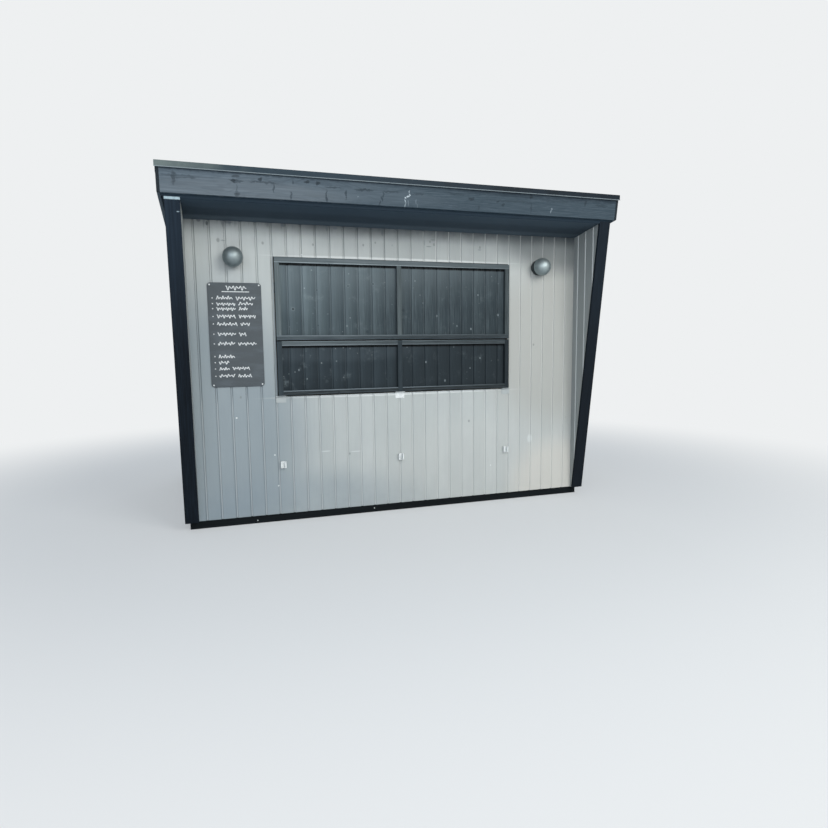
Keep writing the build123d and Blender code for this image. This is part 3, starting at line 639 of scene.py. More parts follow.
# The nail heads take the same painted shade and light as the front around them.
painted_nails = grey_paint("grey_painted_nails", stains_with_light_and_shade=True, boards=False,
                           spots=lower_left_shade + right_side_light_and_shade + roof_shade)
roof_angle, lean_angle = math.radians(8.5), math.radians(8.25)
roof_fall, front_lean = math.tan(roof_angle), math.tan(lean_angle)
boards_foot = 66 * mm
soffit_line, rafter_line, deck_line = 2350 * mm, 2365.17 * mm, 2540.09 * mm
lean_foot = -21.77 * mm
X, Y = np.array([1.0, 0, 0]), np.array([0, 1.0, 0])


def under_roof(height):
    """Upper ends of side boards, under a plane that falls with the roof from that height over the front's face."""
    return lambda across, depth: height - across * roof_fall


def front_top(across, depth):
    """Upper ends of the front boards, cut along the soffit's slope."""
    return soffit_line - depth * roof_fall


def back_top(across, depth):
    """Upper ends of the back boards, cut along the rafters' slope."""
    return rafter_line - (house_depth - depth) * roof_fall


def leaning_foot(across, depth):
    """Lower ends of side boards: level, and ahead of the wall rising along the wing's leaning front edge."""
    return np.maximum(boards_foot, boards_foot + (lean_foot - across) / front_lean)


def corner(height):
    """Depth of the line where the wing's leaning front edge meets a roof-parallel plane."""
    z = (height - roof_fall * (lean_foot + boards_foot * front_lean)) / (1 - front_lean * roof_fall)
    return lean_foot - (z - boards_foot) * front_lean


hatch_low, hatch_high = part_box("lower_flap")[0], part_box("upper_flap")[1]
side_gap, end_gap = 5 * mm, 8 * mm
open_x = hatch_low.x - side_gap, hatch_high.x + side_gap
open_z = hatch_low.z - end_gap, hatch_high.z + end_gap
front_low, front_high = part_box("front_cladding")
front_joint = -1.5981
front_zones = [
    (front_low.x, open_x[0], level(boards_foot), front_top),
    (open_x[0], open_x[1], level(boards_foot), level(open_z[0])),
    (open_x[0], open_x[1], level(open_z[1]), front_top),
    (open_x[1], front_high.x, level(boards_foot), front_top)]
front_origin = np.array([0, front_y, 0])
prism_piece("front_boards", board_rings(front_origin, X, Y, front_joint, front_zones, seed=1), grey_front,
            node="front_cladding")

side_joint = -78 * mm
side_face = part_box("right_cladding")[1].x
house_depth = 2.4
door_low, door_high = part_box("door_leaf")
door_gap = 4 * mm
door_from, door_to = door_low.y - front_y - door_gap, door_high.y - front_y + door_gap
door_head = door_high.z + door_gap
sill_top = 98 * mm
side_start = corner(deck_line)
left_zones = [(side_start, house_depth, leaning_foot, under_roof(deck_line))]
right_zones = [
    (side_start, door_from, leaning_foot, under_roof(deck_line)),
    (door_from, door_to, level(boards_foot), level(sill_top)),
    (door_from, door_to, level(door_head), under_roof(deck_line)),
    (door_to, house_depth, level(boards_foot), under_roof(deck_line))]
prism_piece("left_boards", board_rings(front_origin - side_face * X, Y, X, side_joint, left_zones, lean_foot, seed=2),
            grey_boards, node="left_cladding")
prism_piece("right_boards", board_rings(front_origin + side_face * X, Y, -X, side_joint, right_zones, lean_foot,
                                        seed=3), grey_boards, node="right_cladding")
back_low, back_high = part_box("back_cladding")
back_zones = [(back_low.x, back_high.x, level(boards_foot), back_top)]
prism_piece("back_boards", board_rings(front_origin + house_depth * Y, X, -Y, front_joint, back_zones, seed=4),
            grey_boards, node="back_cladding")
wing_face = front_high.x
wing_zones = [(corner(rafter_line), board_thickness, leaning_foot, under_roof(rafter_line))]
wing_sides = [
    board_rings(front_origin + hand * wing_face * X, Y, hand * X, side_joint, wing_zones, lean_foot, seed=5)
    for hand in (-1, 1)]
wing_rings = tuple(np.concatenate(parts) for parts in zip(*wing_sides))
prism_piece("wing_boards", wing_rings, grey_wings, node="wing_inner_boards")

nail_radius, nail_height, nail_seat, nail_margin, board_count = 3.2 * mm, 0.9 * mm, 1.1 * mm, 0.01, 29
nail_levels = (0.13, 0.62, 1.18, 1.74, 2.26)
nail_columns = front_joint + board_pitch * np.arange(board_count)[:, None] + np.array([38 * mm, 92 * mm])


def clear_of_hatch(x, z):
    """Whether a nail sits in a wall board and not in the hatch."""
    beside = x <= open_x[0] - nail_margin or x >= open_x[1] + nail_margin
    return beside or z <= open_z[0] - nail_margin or z >= open_z[1] + nail_margin


nail_points = [
    (x, front_y + nail_seat, z) for x in nail_columns.ravel() for z in nail_levels
    if front_low.x + nail_margin < x < front_high.x - nail_margin and clear_of_hatch(x, z)]
prism_piece("front_nails", heads(nail_points, nail_radius, nail_height), painted_nails, seed=16)


# Corner trims: planed boards on the wings' leaning front edges and down the back corners, brushed black with a blue
# cast. Their tops stop short under the fascia, where a bare pale strip and a nick show.
def dark_paint(name, grain, main, worn, deep, rough, turn=0.0, knots=0.5, boards=False, specks=0.0, spots=(),
               bend=0.0, figure=0.0, sheen=0.16):
    """Dark opaque wood stain: it wears pale along raised fibre, sinks darker into grain and knots, and has a faint
    sheen. Boarded faces get a pale left and a dark right half, painted light and shade as light falls on cupped
    boards, and a painted highlight on each channel's sloped side. specks is the share of small white splashes. Each
    spot is a centre, half widths, a colour and how strong it is, and bend is how far, in metres, the spots' outlines
    wander. figure is how dark the wavy late wood of a flat-sawn board shows."""
    material, tree = blank(name)
    marks = wood_marks(tree, grain, turn, streak=12, knot_gap=(430, 100))
    grain_shows = 0.6 if boards else 1.0
    colour = tinted(tree, main, worn, marks["streak"], 0.8 * grain_shows, 0.4, 0.7)
    colour = tinted(tree, colour, main, marks["patch"], 0.5, 0.4, 0.7)
    colour = tinted(tree, colour, deep, marks["fibre"], 0.55 * grain_shows, 0.5, 0.78)
    if boards:
        # Painted light and shade: each board's left part pale and its right part dark, as light falls on a cupped face,
        # and the worn colour on each channel's sloped side as a painted highlight.
        colour = mix(tree, scale_to(tree, marks["girth"], 0.55, 0.0, 38 * mm, 80 * mm), colour, worn)
        colour = tinted(tree, colour, deep, marks["girth"], 0.6, 75 * mm, 130 * mm)
        colour = tinted(tree, colour, deep, marks["board"], 0.4)
        colour = joint_dirt_and_light(tree, marks, colour, 0.85, worn, 0.8)
    colour = mix(tree, times(tree, marks["knot"], knots), colour, deep)
    if specks:
        flat = mapped(tree, marks["object"], turn=(math.pi / 2, 0, 0))
        dots = add(tree, "ShaderNodeTexVoronoi", {"Vector": flat, "Scale": 1 / speck_pitch, "Randomness": 1.0},
                   voronoi_dimensions="2D")
        random = add(tree, "ShaderNodeSeparateColor", {"Color": dots.outputs["Color"]})
        size = scale_to(tree, random.outputs[0], 0.0, 0.10, 1 - specks, 1.0)
        dot = maths(tree, "LESS_THAN", dots.outputs["Distance"], size)
        colour = mix(tree, times(tree, dot, times(tree, random.outputs[1], 0.8)), colour, "#9aa4a6")
        cloudy = noise(tree, marks["object"], 1 / (110 * mm), 6.0, Roughness=0.65)
        colour = tinted(tree, colour, "#8b979b", cloudy, 0.5, 0.55, 0.8)
    place = marks["object"]
    if bend:
        wander = add(tree, "ShaderNodeTexNoise", {"Vector": place, "Scale": 1 / (35 * mm), "Detail": 3.0})
        shifted = vector(tree, "SUBTRACT", wander.outputs["Color"], (0.5, 0.5, 0.5))
        place = vector(tree, "ADD", place, vector(tree, "MULTIPLY", shifted, [4 * bend] * 3))
    if figure:
        drawn = mapped(tree, marks["at"], (1 / 0.55, 1 / 0.08, 1 / 0.08))
        wave = maths(tree, "SINE", times(tree, noise(tree, drawn, 1.0, 2.0, Distortion=0.5), 60.0))
        late = times(tree, scale_to(tree, wave, 0.0, 1.0, 0.1, 0.95), scale_to(tree, marks["streak"], 0.4, 1.0))
        colour = mix(tree, times(tree, late, figure), colour, deep)
    for centre, half, tint, amount in spots:
        here = spot(tree, place, centre, half)
        broken = scale_to(tree, marks["fibre"], 0.5, 1.0, 0.35, 0.6)
        colour = mix(tree, times(tree, times(tree, here, broken), amount), colour, tint)
    relief = maths(tree, "ADD", marks["fibre"], times(tree, marks["streak"], 0.7))
    relief = maths(tree, "ADD", relief, times(tree, marks["knot"], 0.7))
    surface(tree, colour, scale_to(tree, marks["streak"], rough, rough + 0.15), relief, 0.4, 0.5 * mm, sheen)
    return material


speck_pitch, trim_arris = 0.06, 2 * mm
trim_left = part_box("left_front_trim")[0]
bare_end = [
    ((trim_left.x + 0.05, trim_left.y + 0.02, 2.407), (0.6, 0.3, 0.011), "#a3b6bd", 1.4),
    ((trim_left.x + 0.085, trim_left.y + 0.02, 2.322), (0.012, 0.3, 0.005), "#8fa0a8", 1.0)]
shaded_foot = [
    ((trim_left.x, trim_left.y + 0.2, 0.3), (9.0, 9.0, 1.9), "#0b1117", 1.0),
    ((1.72, front_y, 1.3), (0.5, 9.0, 9.0), "#12181e", 0.8)]
leaning_trim = dark_paint("black_trim_leaning", "Z", "#1a242e", "#25303b", "#10171e", 0.65, turn=-lean_angle,
                          spots=shaded_foot + bare_end, sheen=0.1)
plumb_trim = dark_paint("black_trim_plumb", "Z", "#18212a", "#222d36", "#0f151b", 0.65, sheen=0.1)
for node in ("left_front_trim", "right_front_trim"):
    softened(node, leaning_trim, trim_arris)
for node in ("left_back_trim", "right_back_trim"):
    softened(node, plumb_trim, trim_arris)


# Roof carcass: rafters from wall to wall, sheathing boards across them, packing pieces behind the bargeboards, and
# the plain painted soffits. Sheathing and rafters are seen through the hatch and are left as sawn.
sawn_rafter = sawn_wood("sawn_spruce_rafter", "#cfae7e", "#a97f4c", "Y", 0.8, 0.8, turn=roof_angle)
softened("rafters", sawn_rafter, sawn_arris)
dress("roof_deck", sawn_spruce["X"])
# Painted light and shade on the soffit: paler to the right and near the wall, darker across the middle and along its
# front edge behind the fascia.
soffit_light_and_shade = [
    ((2.4, front_y - 0.2, 2.38), (3.2, 1.0, 1.0), "#42505b", 0.7),
    ((0, front_y - 0.16, 2.37), (20, 0.10, 0.3), "#101b24", 0.25),
    ((0, front_y, 2.35), (20, 0.12, 0.3), "#5c6973", 0.75),
    ((0, front_y - 0.392, 2.415), (20, 0.016, 0.06), "#1c2a35", 2.0)]
soffit_paint = dark_paint("blue_black_soffit_paint", "X", "#34424e", "#3a4955", "#2a3641", 0.65, knots=0.2,
                          spots=soffit_light_and_shade)
thin_arris = 1 * mm
for node in ("soffits", "eaves_board", "barge_packers"):
    softened(node, soffit_paint, thin_arris)


# Fascias and bargeboards: broad planed boards nailed over the rafters' ends and along the slopes, in a worn slate
# stain, bluish at the left, with knots, a few cracks and white scrapes. The front fascia also carries painted shade,
# darker to the right, along its top under the drip strip and on its lower edge.
fascia_plane = front_y - 0.42
fascia_streaks = [
    ((x, fascia_plane, z), (wide * 1.3, 0.1, half * 1.5), "#2a343b", amount) for x, z, wide, half, amount in
    ((-1.64, 2.541, 0.13, 0.009, 0.55), (-1.283, 2.536, 0.05, 0.008, 0.7), (-1.095, 2.538, 0.10, 0.006, 0.6),
    (-0.62, 2.537, 0.055, 0.006, 0.7), (-0.38, 2.536, 0.075, 0.006, 0.85), (-0.18, 2.536, 0.07, 0.006, 0.7),
    (0.026, 2.529, 0.055, 0.005, 0.7), (0.80, 2.525, 0.19, 0.006, 0.6), (1.633, 2.535, 0.075, 0.004, 0.9),
    (0.33, 2.552, 0.09, 0.006, 0.5), (1.20, 2.548, 0.12, 0.006, 0.45))]
fascia_knots = [
    ((x, fascia_plane, z), (wide * 1.4, 0.1, half * 1.4), "#1d252b", amount) for x, z, wide, half, amount in
    ((-1.682, 2.530, 0.014, 0.036, 0.6), (-1.283, 2.566, 0.026, 0.008, 0.7), (-1.300, 2.537, 0.015, 0.010, 0.8),
    (-1.123, 2.556, 0.014, 0.010, 0.95), (-0.800, 2.561, 0.020, 0.009, 0.9), (-0.723, 2.560, 0.016, 0.011, 0.95),
    (-1.276, 2.455, 0.018, 0.010, 0.6), (0.461, 2.526, 0.024, 0.012, 0.6), (0.687, 2.514, 0.012, 0.008, 0.7),
    (0.732, 2.495, 0.012, 0.008, 0.65), (0.977, 2.564, 0.018, 0.013, 0.9), (1.476, 2.550, 0.010, 0.020, 0.7))]
fascia_cracks = [
    ((x, fascia_plane, z), (0.008, 0.1, half * 1.3), "#28323a", amount) for x, z, half, amount in
    ((-1.032, 2.507, 0.028, 0.8), (-1.278, 2.482, 0.035, 0.45), (-0.912, 2.465, 0.030, 0.8),
    (-0.897, 2.553, 0.018, 0.6), (-0.663, 2.474, 0.042, 0.85), (-0.520, 2.492, 0.033, 0.8),
    (-0.240, 2.508, 0.018, 0.85), (-0.252, 2.482, 0.018, 0.85), (-0.268, 2.450, 0.022, 0.85),
    (0.530, 2.465, 0.022, 0.7), (0.981, 2.480, 0.045, 0.65))]
fascia_scrapes = [
    ((x, fascia_plane, z), (wide, 0.1, half), tint, amount) for x, z, wide, half, tint, amount in
    ((-0.066, 2.500, 0.011, 0.006, "#bac5cb", 1.1), (-0.050, 2.509, 0.010, 0.007, "#bac5cb", 1.1),
    (-0.036, 2.518, 0.008, 0.007, "#bac5cb", 1.1), (-0.040, 2.540, 0.005, 0.018, "#9aa6ad", 0.8),
    (-0.076, 2.482, 0.006, 0.016, "#a7b3ba", 0.9), (-0.072, 2.452, 0.005, 0.026, "#98a4ab", 0.7),
    (-0.048, 2.462, 0.004, 0.026, "#8b979e", 0.6), (0.020, 2.475, 0.005, 0.020, "#7f8b93", 0.5),
    (0.032, 2.448, 0.005, 0.018, "#7f8b93", 0.5), (1.168, 2.486, 0.006, 0.010, "#9aa6ad", 0.8),
    (1.160, 2.468, 0.005, 0.014, "#8f9ba3", 0.7), (-0.430, 2.487, 0.008, 0.006, "#8b979e", 0.5))]
# The front fascia's tone and painted shade: a thin dark line near the right end, painted shade darker to the right,
# along the top under the drip strip and on the lower edge, and paler patches at the lower left and middle.
fascia_tone_and_shade = [
    ((1.62, fascia_plane, 2.545), (0.09, 0.1, 0.004), "#1a2227", 1.0),
    ((2.0, fascia_plane - 0.08, 2.5), (3.4, 2.0, 2.0), "#2f3d46", 0.9),
    ((-1.25, fascia_plane, 2.47), (0.95, 0.2, 0.10), "#7d8285", 0.25),
    ((-0.30, fascia_plane, 2.50), (0.75, 0.2, 0.07), "#727d85", 0.15),
    ((-0.9, fascia_plane, 2.60), (2.2, 0.2, 0.03), "#39444d", 0.8),
    ((1.3, fascia_plane, 2.60), (1.7, 0.2, 0.055), "#26313a", 0.9),
    ((0, front_y - 0.384, 2.43), (20, 0.02, 0.02), "#283945", 1.5)]
slate_front = dark_paint("slate_fascia_front", "X", "#535f68", "#68747d", "#28333c", 0.62, knots=0.3, bend=0.010,
                         figure=0.3, spots=fascia_tone_and_shade + fascia_streaks + fascia_knots + fascia_cracks + fascia_scrapes)
slate_rear = dark_paint("slate_fascia_rear", "X", "#535f68", "#65717a", "#2c3740", 0.6, knots=0.6, figure=0.4)
end_grain = [((0, fascia_plane, 2.5), (20, 0.032, 0.6), "#1a2228", 1.5)]
slate_barge = dark_paint("slate_bargeboard", "Y", "#535f68", "#65717a", "#36414a", 0.6, turn=roof_angle,
                         knots=0.6, spots=end_grain)
softened("front_fascia", slate_front, trim_arris)
softened("rear_fascia", slate_rear, trim_arris)
for node in ("left_bargeboard", "right_bargeboard"):
    softened(node, slate_barge, trim_arris)


# Roof covering: strips of slate-surfaced bitumen felt from the front to the back, nailed down, each lapped over its
# neighbour.
felt_low, felt_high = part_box("roof_felt")
deck_top_line, felt_sheet, felt_lap, felt_edge = 2558.29 * mm, 2.6 * mm, 90 * mm, 8 * mm
sheet_count = 4
sheet_width = (felt_high.x - felt_low.x) / sheet_count
felt_rise = 2.2 * mm


def felt_rings():
    """Sections across four felt strips, from the front edge to the back: flat, then up over the neighbour's edge and
    on to the lap's end, and the same again 2.6 mm higher on the way back."""
    stacks = []
    for index in range(sheet_count):
        start = felt_low.x + index * sheet_width
        stop = start + sheet_width
        path = [(start, 0), (stop - felt_edge, 0), (stop, felt_rise), (stop + felt_lap, felt_rise)]
        if index == sheet_count - 1:
            path = [(start, 0), (stop - 2 * felt_edge, 0), (stop - felt_edge, 0), (stop, 0)]
        section = np.array(path + [(x, z + felt_sheet) for x, z in path[::-1]])
        levels = []
        for depth in (felt_low.y, felt_high.y):
            ring = np.zeros((len(section), 3))
            ring[:, 0], ring[:, 1] = section[:, 0], depth
            ring[:, 2] = deck_top_line - (depth - front_y) * roof_fall + section[:, 1]
            levels.append(ring)
        stacks.append(levels)
    return np.array(stacks)


slate_grain = 2.2 * mm
felt, tree = blank("mineral_felt")
coords = own_place(tree)
grains, tone = cells(tree, coords, 1 / slate_grain)
cloud = noise(tree, coords, 3.0, 5.0)
colour = tinted(tree, "#2a2e30", "#565b5d", tone, 0.8)
colour = tinted(tree, colour, "#3a3f3a", cloud, 0.5, 0.4, 0.7)
surface(tree, colour, 0.9, grains.outputs["Distance"], 0.6, 0.8 * mm)
prism_piece("felt_strips", felt_rings(), felt, seed=21, node="roof_felt")


# Drip strips: folded painted sheet nailed over the roof's edge, kicked out at its foot. The front one is dull, with a
# painted reflection that is pale at the left end and nearly black at the right, and a painted highlight along its lip.
def folded_sheet(name, painted_reflection):
    """Coated steel sheet with faint handling marks. It can carry a painted reflection, from pale to dark along X, and a
    painted highlight along its kicked lip.
    """
    material, tree = blank(name)
    at = own_place(tree)
    cloud, fine = noise(tree, at, 7.0, 6.0), noise(tree, at, 160.0, 3.0)
    colour = tinted(tree, "#0e171d", "#16212a", cloud, 1.0, 0.3, 0.7)
    if painted_reflection:
        across, height = coordinate(tree, at, 0), coordinate(tree, at, 2)
        clouded = maths(tree, "ADD", across, times(tree, cloud, 0.6))
        lip_top, lip_end = strip_low.z + 6 * mm, strip_low.z + 9 * mm
        # Painted reflection: paler towards the left end.
        colour = mix(tree, scale_to(tree, across, 0.5, 0.0, -1.4, 1.2), colour, "#3d4d57")
        colour = mix(tree, scale_to(tree, clouded, 0.5, 0.0, -1.5, -0.9), colour, "#87928c")
        # Painted highlight along the kicked lip.
        colour = mix(tree, scale_to(tree, height, 0.75, 0.0, lip_top, lip_end), colour, "#929da2")
    colour = tinted(tree, colour, "#2f3b43", fine, 0.2, 0.5, 0.8)
    surface(tree, colour, scale_to(tree, fine, 0.45, 0.6), cloud, 0.15, 0.3 * mm, 0.1)
    return material


strip_low, strip_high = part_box("front_drip_strip")
fold_radius = 0.5 * mm
strip_sheet = folded_sheet("coated_strip_sheet", True)
softened("front_drip_strip", strip_sheet, fold_radius)
softened("side_drip_strips", folded_sheet("coated_side_sheet", False), fold_radius)
strip_kick, clout_drop, clout_gap, clout_radius, clout_height = 9 * mm, 9 * mm, 0.34, 4 * mm, 1.5 * mm
clout_points = [(x, strip_low.y + strip_kick, strip_high.z - clout_drop) for x in np.arange(-1.7, 1.71, clout_gap)]
prism_piece("strip_clouts", heads(clout_points, clout_radius, clout_height), strip_sheet, seed=22)


# Serving hatch: two flaps of the same rebated boards, planted rails and posts on their faces and ledges behind. All
# carry a nearly black stain. The paint is splashed, and paler at the upper left where the light has bleached it.
# Painted shade darkens them to the right and along the rails, and the rails' arrises carry pale wear with painted
# highlight.
batten_width, batten_proud, ledge_width, ledge_board, ledge_inset = 38 * mm, 28 * mm, 70 * mm, 21 * mm, 60 * mm
batten_face = front_y - batten_proud
flap_shade = [((1.5, front_y, 1.5), (2.7, 1.0, 2.0), "#222b30", 0.85)]
split_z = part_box("lower_flap")[1].z
under_rails = hatch_high.z - batten_width - 6 * mm, split_z - batten_width - 3 * mm
rail_shadow = [((0, front_y, z), (20, 0.1, 0.016), "#070b0e", 1.4) for z in under_rails]
# Upper flap: paler towards the top, darker at the foot on the left, and painted shade darker to the right.
upper_wear_and_shade = [
    ((-0.7, front_y, 2.15), (2.2, 1.0, 0.56), "#95a1a5", 0.11),
    ((-0.7, front_y, 2.12), (2.2, 1.0, 0.30), "#95a1a5", 0.10),
    ((-1.0, front_y, 1.50), (0.45, 1.0, 0.22), "#2a3439", 0.3),
    ((1.0, front_y, 1.55), (0.6, 1.0, 0.32), "#1d262a", 0.35)]
lower_marks = [
    ((-0.6, front_y, 1.38), (1.0, 1.0, 0.13), "#76828a", 0.09),
    ((-0.8, front_y, 1.06), (0.7, 1.0, 0.13), "#171e22", 0.35)]
board_knots = [
    ((x, front_y, z), (half * grow, 0.1, half * grow), tint, amount) for x, z, half in
    ((-0.876, 1.700, 0.011), (-0.433, 1.886, 0.008), (-0.225, 1.906, 0.008), (-0.683, 1.850, 0.006))
    for grow, tint, amount in ((1.9, "#8c989c", 0.3), (1.1, "#252d31", 1.0))]
board_flecks = [
    ((x, front_y, z), (half * 0.6, 0.1, half), "#98a4a8", 0.6) for x, z, half in
    ((-0.449, 1.568, 0.012), (0.135, 1.938, 0.009), (0.204, 1.758, 0.009), (0.328, 1.651, 0.012),
    (0.706, 1.831, 0.011), (0.897, 1.662, 0.014), (0.510, 1.567, 0.010), (0.640, 1.541, 0.013), (-0.924, 1.192, 0.007),
    (-0.877, 1.206, 0.007), (-0.845, 1.221, 0.011), (0.225, 1.264, 0.012), (0.397, 1.102, 0.014),
    (0.726, 1.289, 0.010), (0.631, 1.204, 0.009))]
# Flap boards: painted shade darker to the right, deeper still at the lower flap's lower right, and painted shadow under
# the rails.
flap_boards = {"upper_flap": dark_paint("black_flap_boards_bleached", "UV", "#536064", "#707d82", "#364147", 0.6,
                                        knots=0.7, boards=True, specks=0.3,
                                        spots=flap_shade + upper_wear_and_shade + board_knots + board_flecks + rail_shadow),
               "lower_flap": dark_paint("black_flap_boards", "UV", "#2b353b", "#404b51", "#1c2429", 0.6,
                                        knots=0.6, boards=True, specks=0.3,
                                        spots=flap_shade + [((1.5, front_y, 1.0), (2.0, 1.0, 0.8), "#1b2226", 0.5)]
                                        + lower_marks + board_flecks + rail_shadow)}
# Pale lines along the rails' arrises: wear, with a painted highlight where the edges catch the light.
arris_wear_and_highlight = [
    ((-0.9, batten_face, z), (2.2, 0.05, 0.0045), tint, amount) for z, tint, amount in
    ((2.056, "#98a3a7", 0.9), (1.492, "#78838a", 0.5), (1.447, "#808b90", 0.5), (1.057, "#78838a", 0.8),
    (1.418, "#8a959a", 0.4))]
# Painted shade: dark lines along the lower edge of the lower flap's top rail and across its bottom rail.
rail_edge_shade = [
    ((0, batten_face, z), (20, 0.1, half), "#12181b", 0.9) for z, half in
    ((1.409, 0.0045), (1.043, 0.0045), (1.025, 0.006))]
rail_shade = [
    ((0, batten_face, 1.468), (20, 0.2, 0.020), "#3a444a", 0.8),
    ((0, batten_face, 1.035), (20, 0.2, 0.030), "#1f2629", 0.95),
    ((1.6, front_y, 1.6), (2.1, 1.0, 1.3), "#2f383c", 0.5),
    ((0, batten_face, 1.455), (20, 1.0, 0.085), "#222a2f", 0.25),
    ((1.1, batten_face, 1.455), (2.0, 1.0, 0.12), "#1b2226", 0.6),
    ((1.1, batten_face, 1.035), (2.0, 1.0, 0.08), "#151b1e", 0.5)]
flap_rail = dark_paint("black_flap_rails", "X", "#596265", "#6f777b", "#343c40", 0.6, knots=0.8,
                       spots=rail_shade + arris_wear_and_highlight + rail_edge_shade)
# Posts: painted shade darker to the right, and darker still on the lower flap's right post.
upper_post = dark_paint("black_upper_posts", "Z", "#566062", "#6d7578", "#303839", 0.6, knots=0.6,
                        spots=[((1.5, front_y, 1.8), (2.1, 1.0, 2.0), "#20272a", 0.75)])
lower_post = dark_paint("black_lower_posts", "Z", "#2f383d", "#434d52", "#1c2327", 0.6, knots=0.6,
                        spots=flap_shade + [((1.0, front_y, 1.2), (0.4, 1.0, 0.5), "#10161a", 0.6)])
for name, body, flap_post, rails_run_through, seed in (("upper_flap", "upper_hatch", upper_post, True, 31),
                                                       ("lower_flap", "counter", lower_post, False, 41)):
    low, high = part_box(name)
    prism_piece(name + "_boards", board_rings(front_origin, X, Y, front_joint,
                                              [(low.x, high.x, level(low.z), level(high.z))], seed=seed),
                flap_boards[name], body, node=name)
    centre = (low.x + high.x) / 2
    ledge_middles = (low.x + ledge_inset + ledge_width / 2, centre, high.x - ledge_inset - ledge_width / 2)
    back = front_y + board_thickness
    prism_piece(name + "_ledges", planed_bars(
        [(x - ledge_width / 2, back, low.z + ledge_inset / 2) for x in ledge_middles],
        [(x + ledge_width / 2, back + ledge_board, high.z - ledge_inset / 2) for x in ledge_middles], trim_arris),
        flap_post, body, seed + 2, node=name)
    post_low, post_high = low.z + batten_width, high.z - batten_width
    rail_ends = [(low.x, high.x)]
    if not rails_run_through:
        post_low, post_high = low.z, high.z
        rail_ends = [(low.x + batten_width, centre - batten_width / 2),
                     (centre + batten_width / 2, high.x - batten_width)]
    rails = [((left, batten_face, foot), (stop, front_y, foot + batten_width))
             for left, stop in rail_ends for foot in (low.z, high.z - batten_width)]
    posts = [((left, batten_face, post_low), (left + batten_width, front_y, post_high))
             for left in (low.x, centre - batten_width / 2, high.x - batten_width)]
    for part, bars, paint in (("rails", rails, flap_rail), ("posts", posts, flap_post)):
        prism_piece(f"{name}_{part}", planed_bars([b[0] for b in bars], [b[1] for b in bars], trim_arris), paint,
                    body, seed + 3, node=name + "_battens")


# Hatch ironmongery: three butt hinges under the lower flap, the middle one new and bright and the outer two painted
# over with the wall, one long hinge along the upper flap, and three bright shoes for struts below.
def zinc_plate(name, painted_beyond=None, dark="#a9afb1", pale="#c2c7c8", flake=0.6):
    """Galvanised steel with a frosted spangle. Beyond a distance from the hatch's middle it is painted wall grey."""
    material, tree = blank(name)
    at = own_place(tree)
    tone = cells(tree, at, 1 / spangle)[1]
    dull = noise(tree, at, 90.0, 4.0)
    colour = mix(tree, tone, dark, pale)
    colour = tinted(tree, colour, "#8f9698", dull, 0.4, 0.5, 0.75)
    metal = flake
    if painted_beyond:
        side = maths(tree, "SUBTRACT", coordinate(tree, at, 0), (hatch_low.x + hatch_high.x) / 2)
        paint = maths(tree, "GREATER_THAN", maths(tree, "ABSOLUTE", side), painted_beyond)
        colour = mix(tree, paint, colour, "#a3a9a9")
        metal = scale_to(tree, paint, flake, 0.0)
    surface(tree, colour, scale_to(tree, tone, 0.38, 0.55), dull, 0.2, 0.1 * mm, metal=metal)
    return material


spangle = 4 * mm
hinge_zinc = zinc_plate("galvanised_and_overpainted", 0.3, "#c9cecf", "#e0e3e3", 0.25)
seat_zinc = zinc_plate("galvanised_shoes", dark="#ccd1d1", pale="#e2e5e4", flake=0.15)
for node in ("counter_hinge_plates", "counter_hinge_leaves"):
    dress(node, hinge_zinc)
dress("strut_seats", seat_zinc)
for node in ("top_hinge", "top_hinge_leaf"):
    dress(node, upper_post)
hinge_middles = (hatch_low.x + batten_width / 2, (hatch_low.x + hatch_high.x) / 2, hatch_high.x - batten_width / 2)
plate_sheet = 2.5 * mm
plate_face, plate_foot = front_y - plate_sheet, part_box("counter_hinge_plates")[0].z
screw_step, screw_rises, screw_radius, screw_height = 26 * mm, (13 * mm, 29 * mm, 13 * mm), 4 * mm, 1.2 * mm
plate_screws = [
    (x + step, plate_face, plate_foot + rise) for x in hinge_middles
    for step, rise in zip((-screw_step, 0, screw_step), screw_rises)]
prism_piece("hinge_screws", heads(plate_screws, screw_radius, screw_height, 12), hinge_zinc, seed=51)


# Menu board: a thin dark panel with rounded corners, smeared with chalk and held by four white-capped screws. Rows of
# plain wavy chalk strokes run across it, each behind a dot.
menu_low, menu_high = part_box("menu_board")
panel, tree = blank("chalk_panel")
coords = own_place(tree)
smear = noise(tree, mapped(tree, coords, (5, 1, 18), (0, 0.5, 0)), 1.0, 6.0)
dust = noise(tree, coords, 900.0, 2.0)
colour = tinted(tree, "#3a4247", "#59636a", smear, 0.35, 0.45, 0.75)
colour = tinted(tree, colour, "#737c80", dust, 0.25, 0.5, 0.8)
surface(tree, colour, 0.6, dust, 0.2, 0.1 * mm)
softened("menu_board", panel, thin_arris)
screw_inset, cap_radius, cap_height = 17 * mm, 6 * mm, 2.5 * mm
cap_points = [
    (x, menu_low.y, z) for x in (menu_low.x + screw_inset, menu_high.x - screw_inset)
    for z in (menu_low.z + screw_inset, menu_high.z - screw_inset)]
cap, tree = blank("white_screw_caps")
soil = noise(tree, own_place(tree), 500.0, 3.0)
surface(tree, tinted(tree, "#dfe3e2", "#a3a9a8", soil, 0.4), 0.4)
prism_piece("menu_screws", heads(cap_points, cap_radius, cap_height, 14), cap, seed=61)


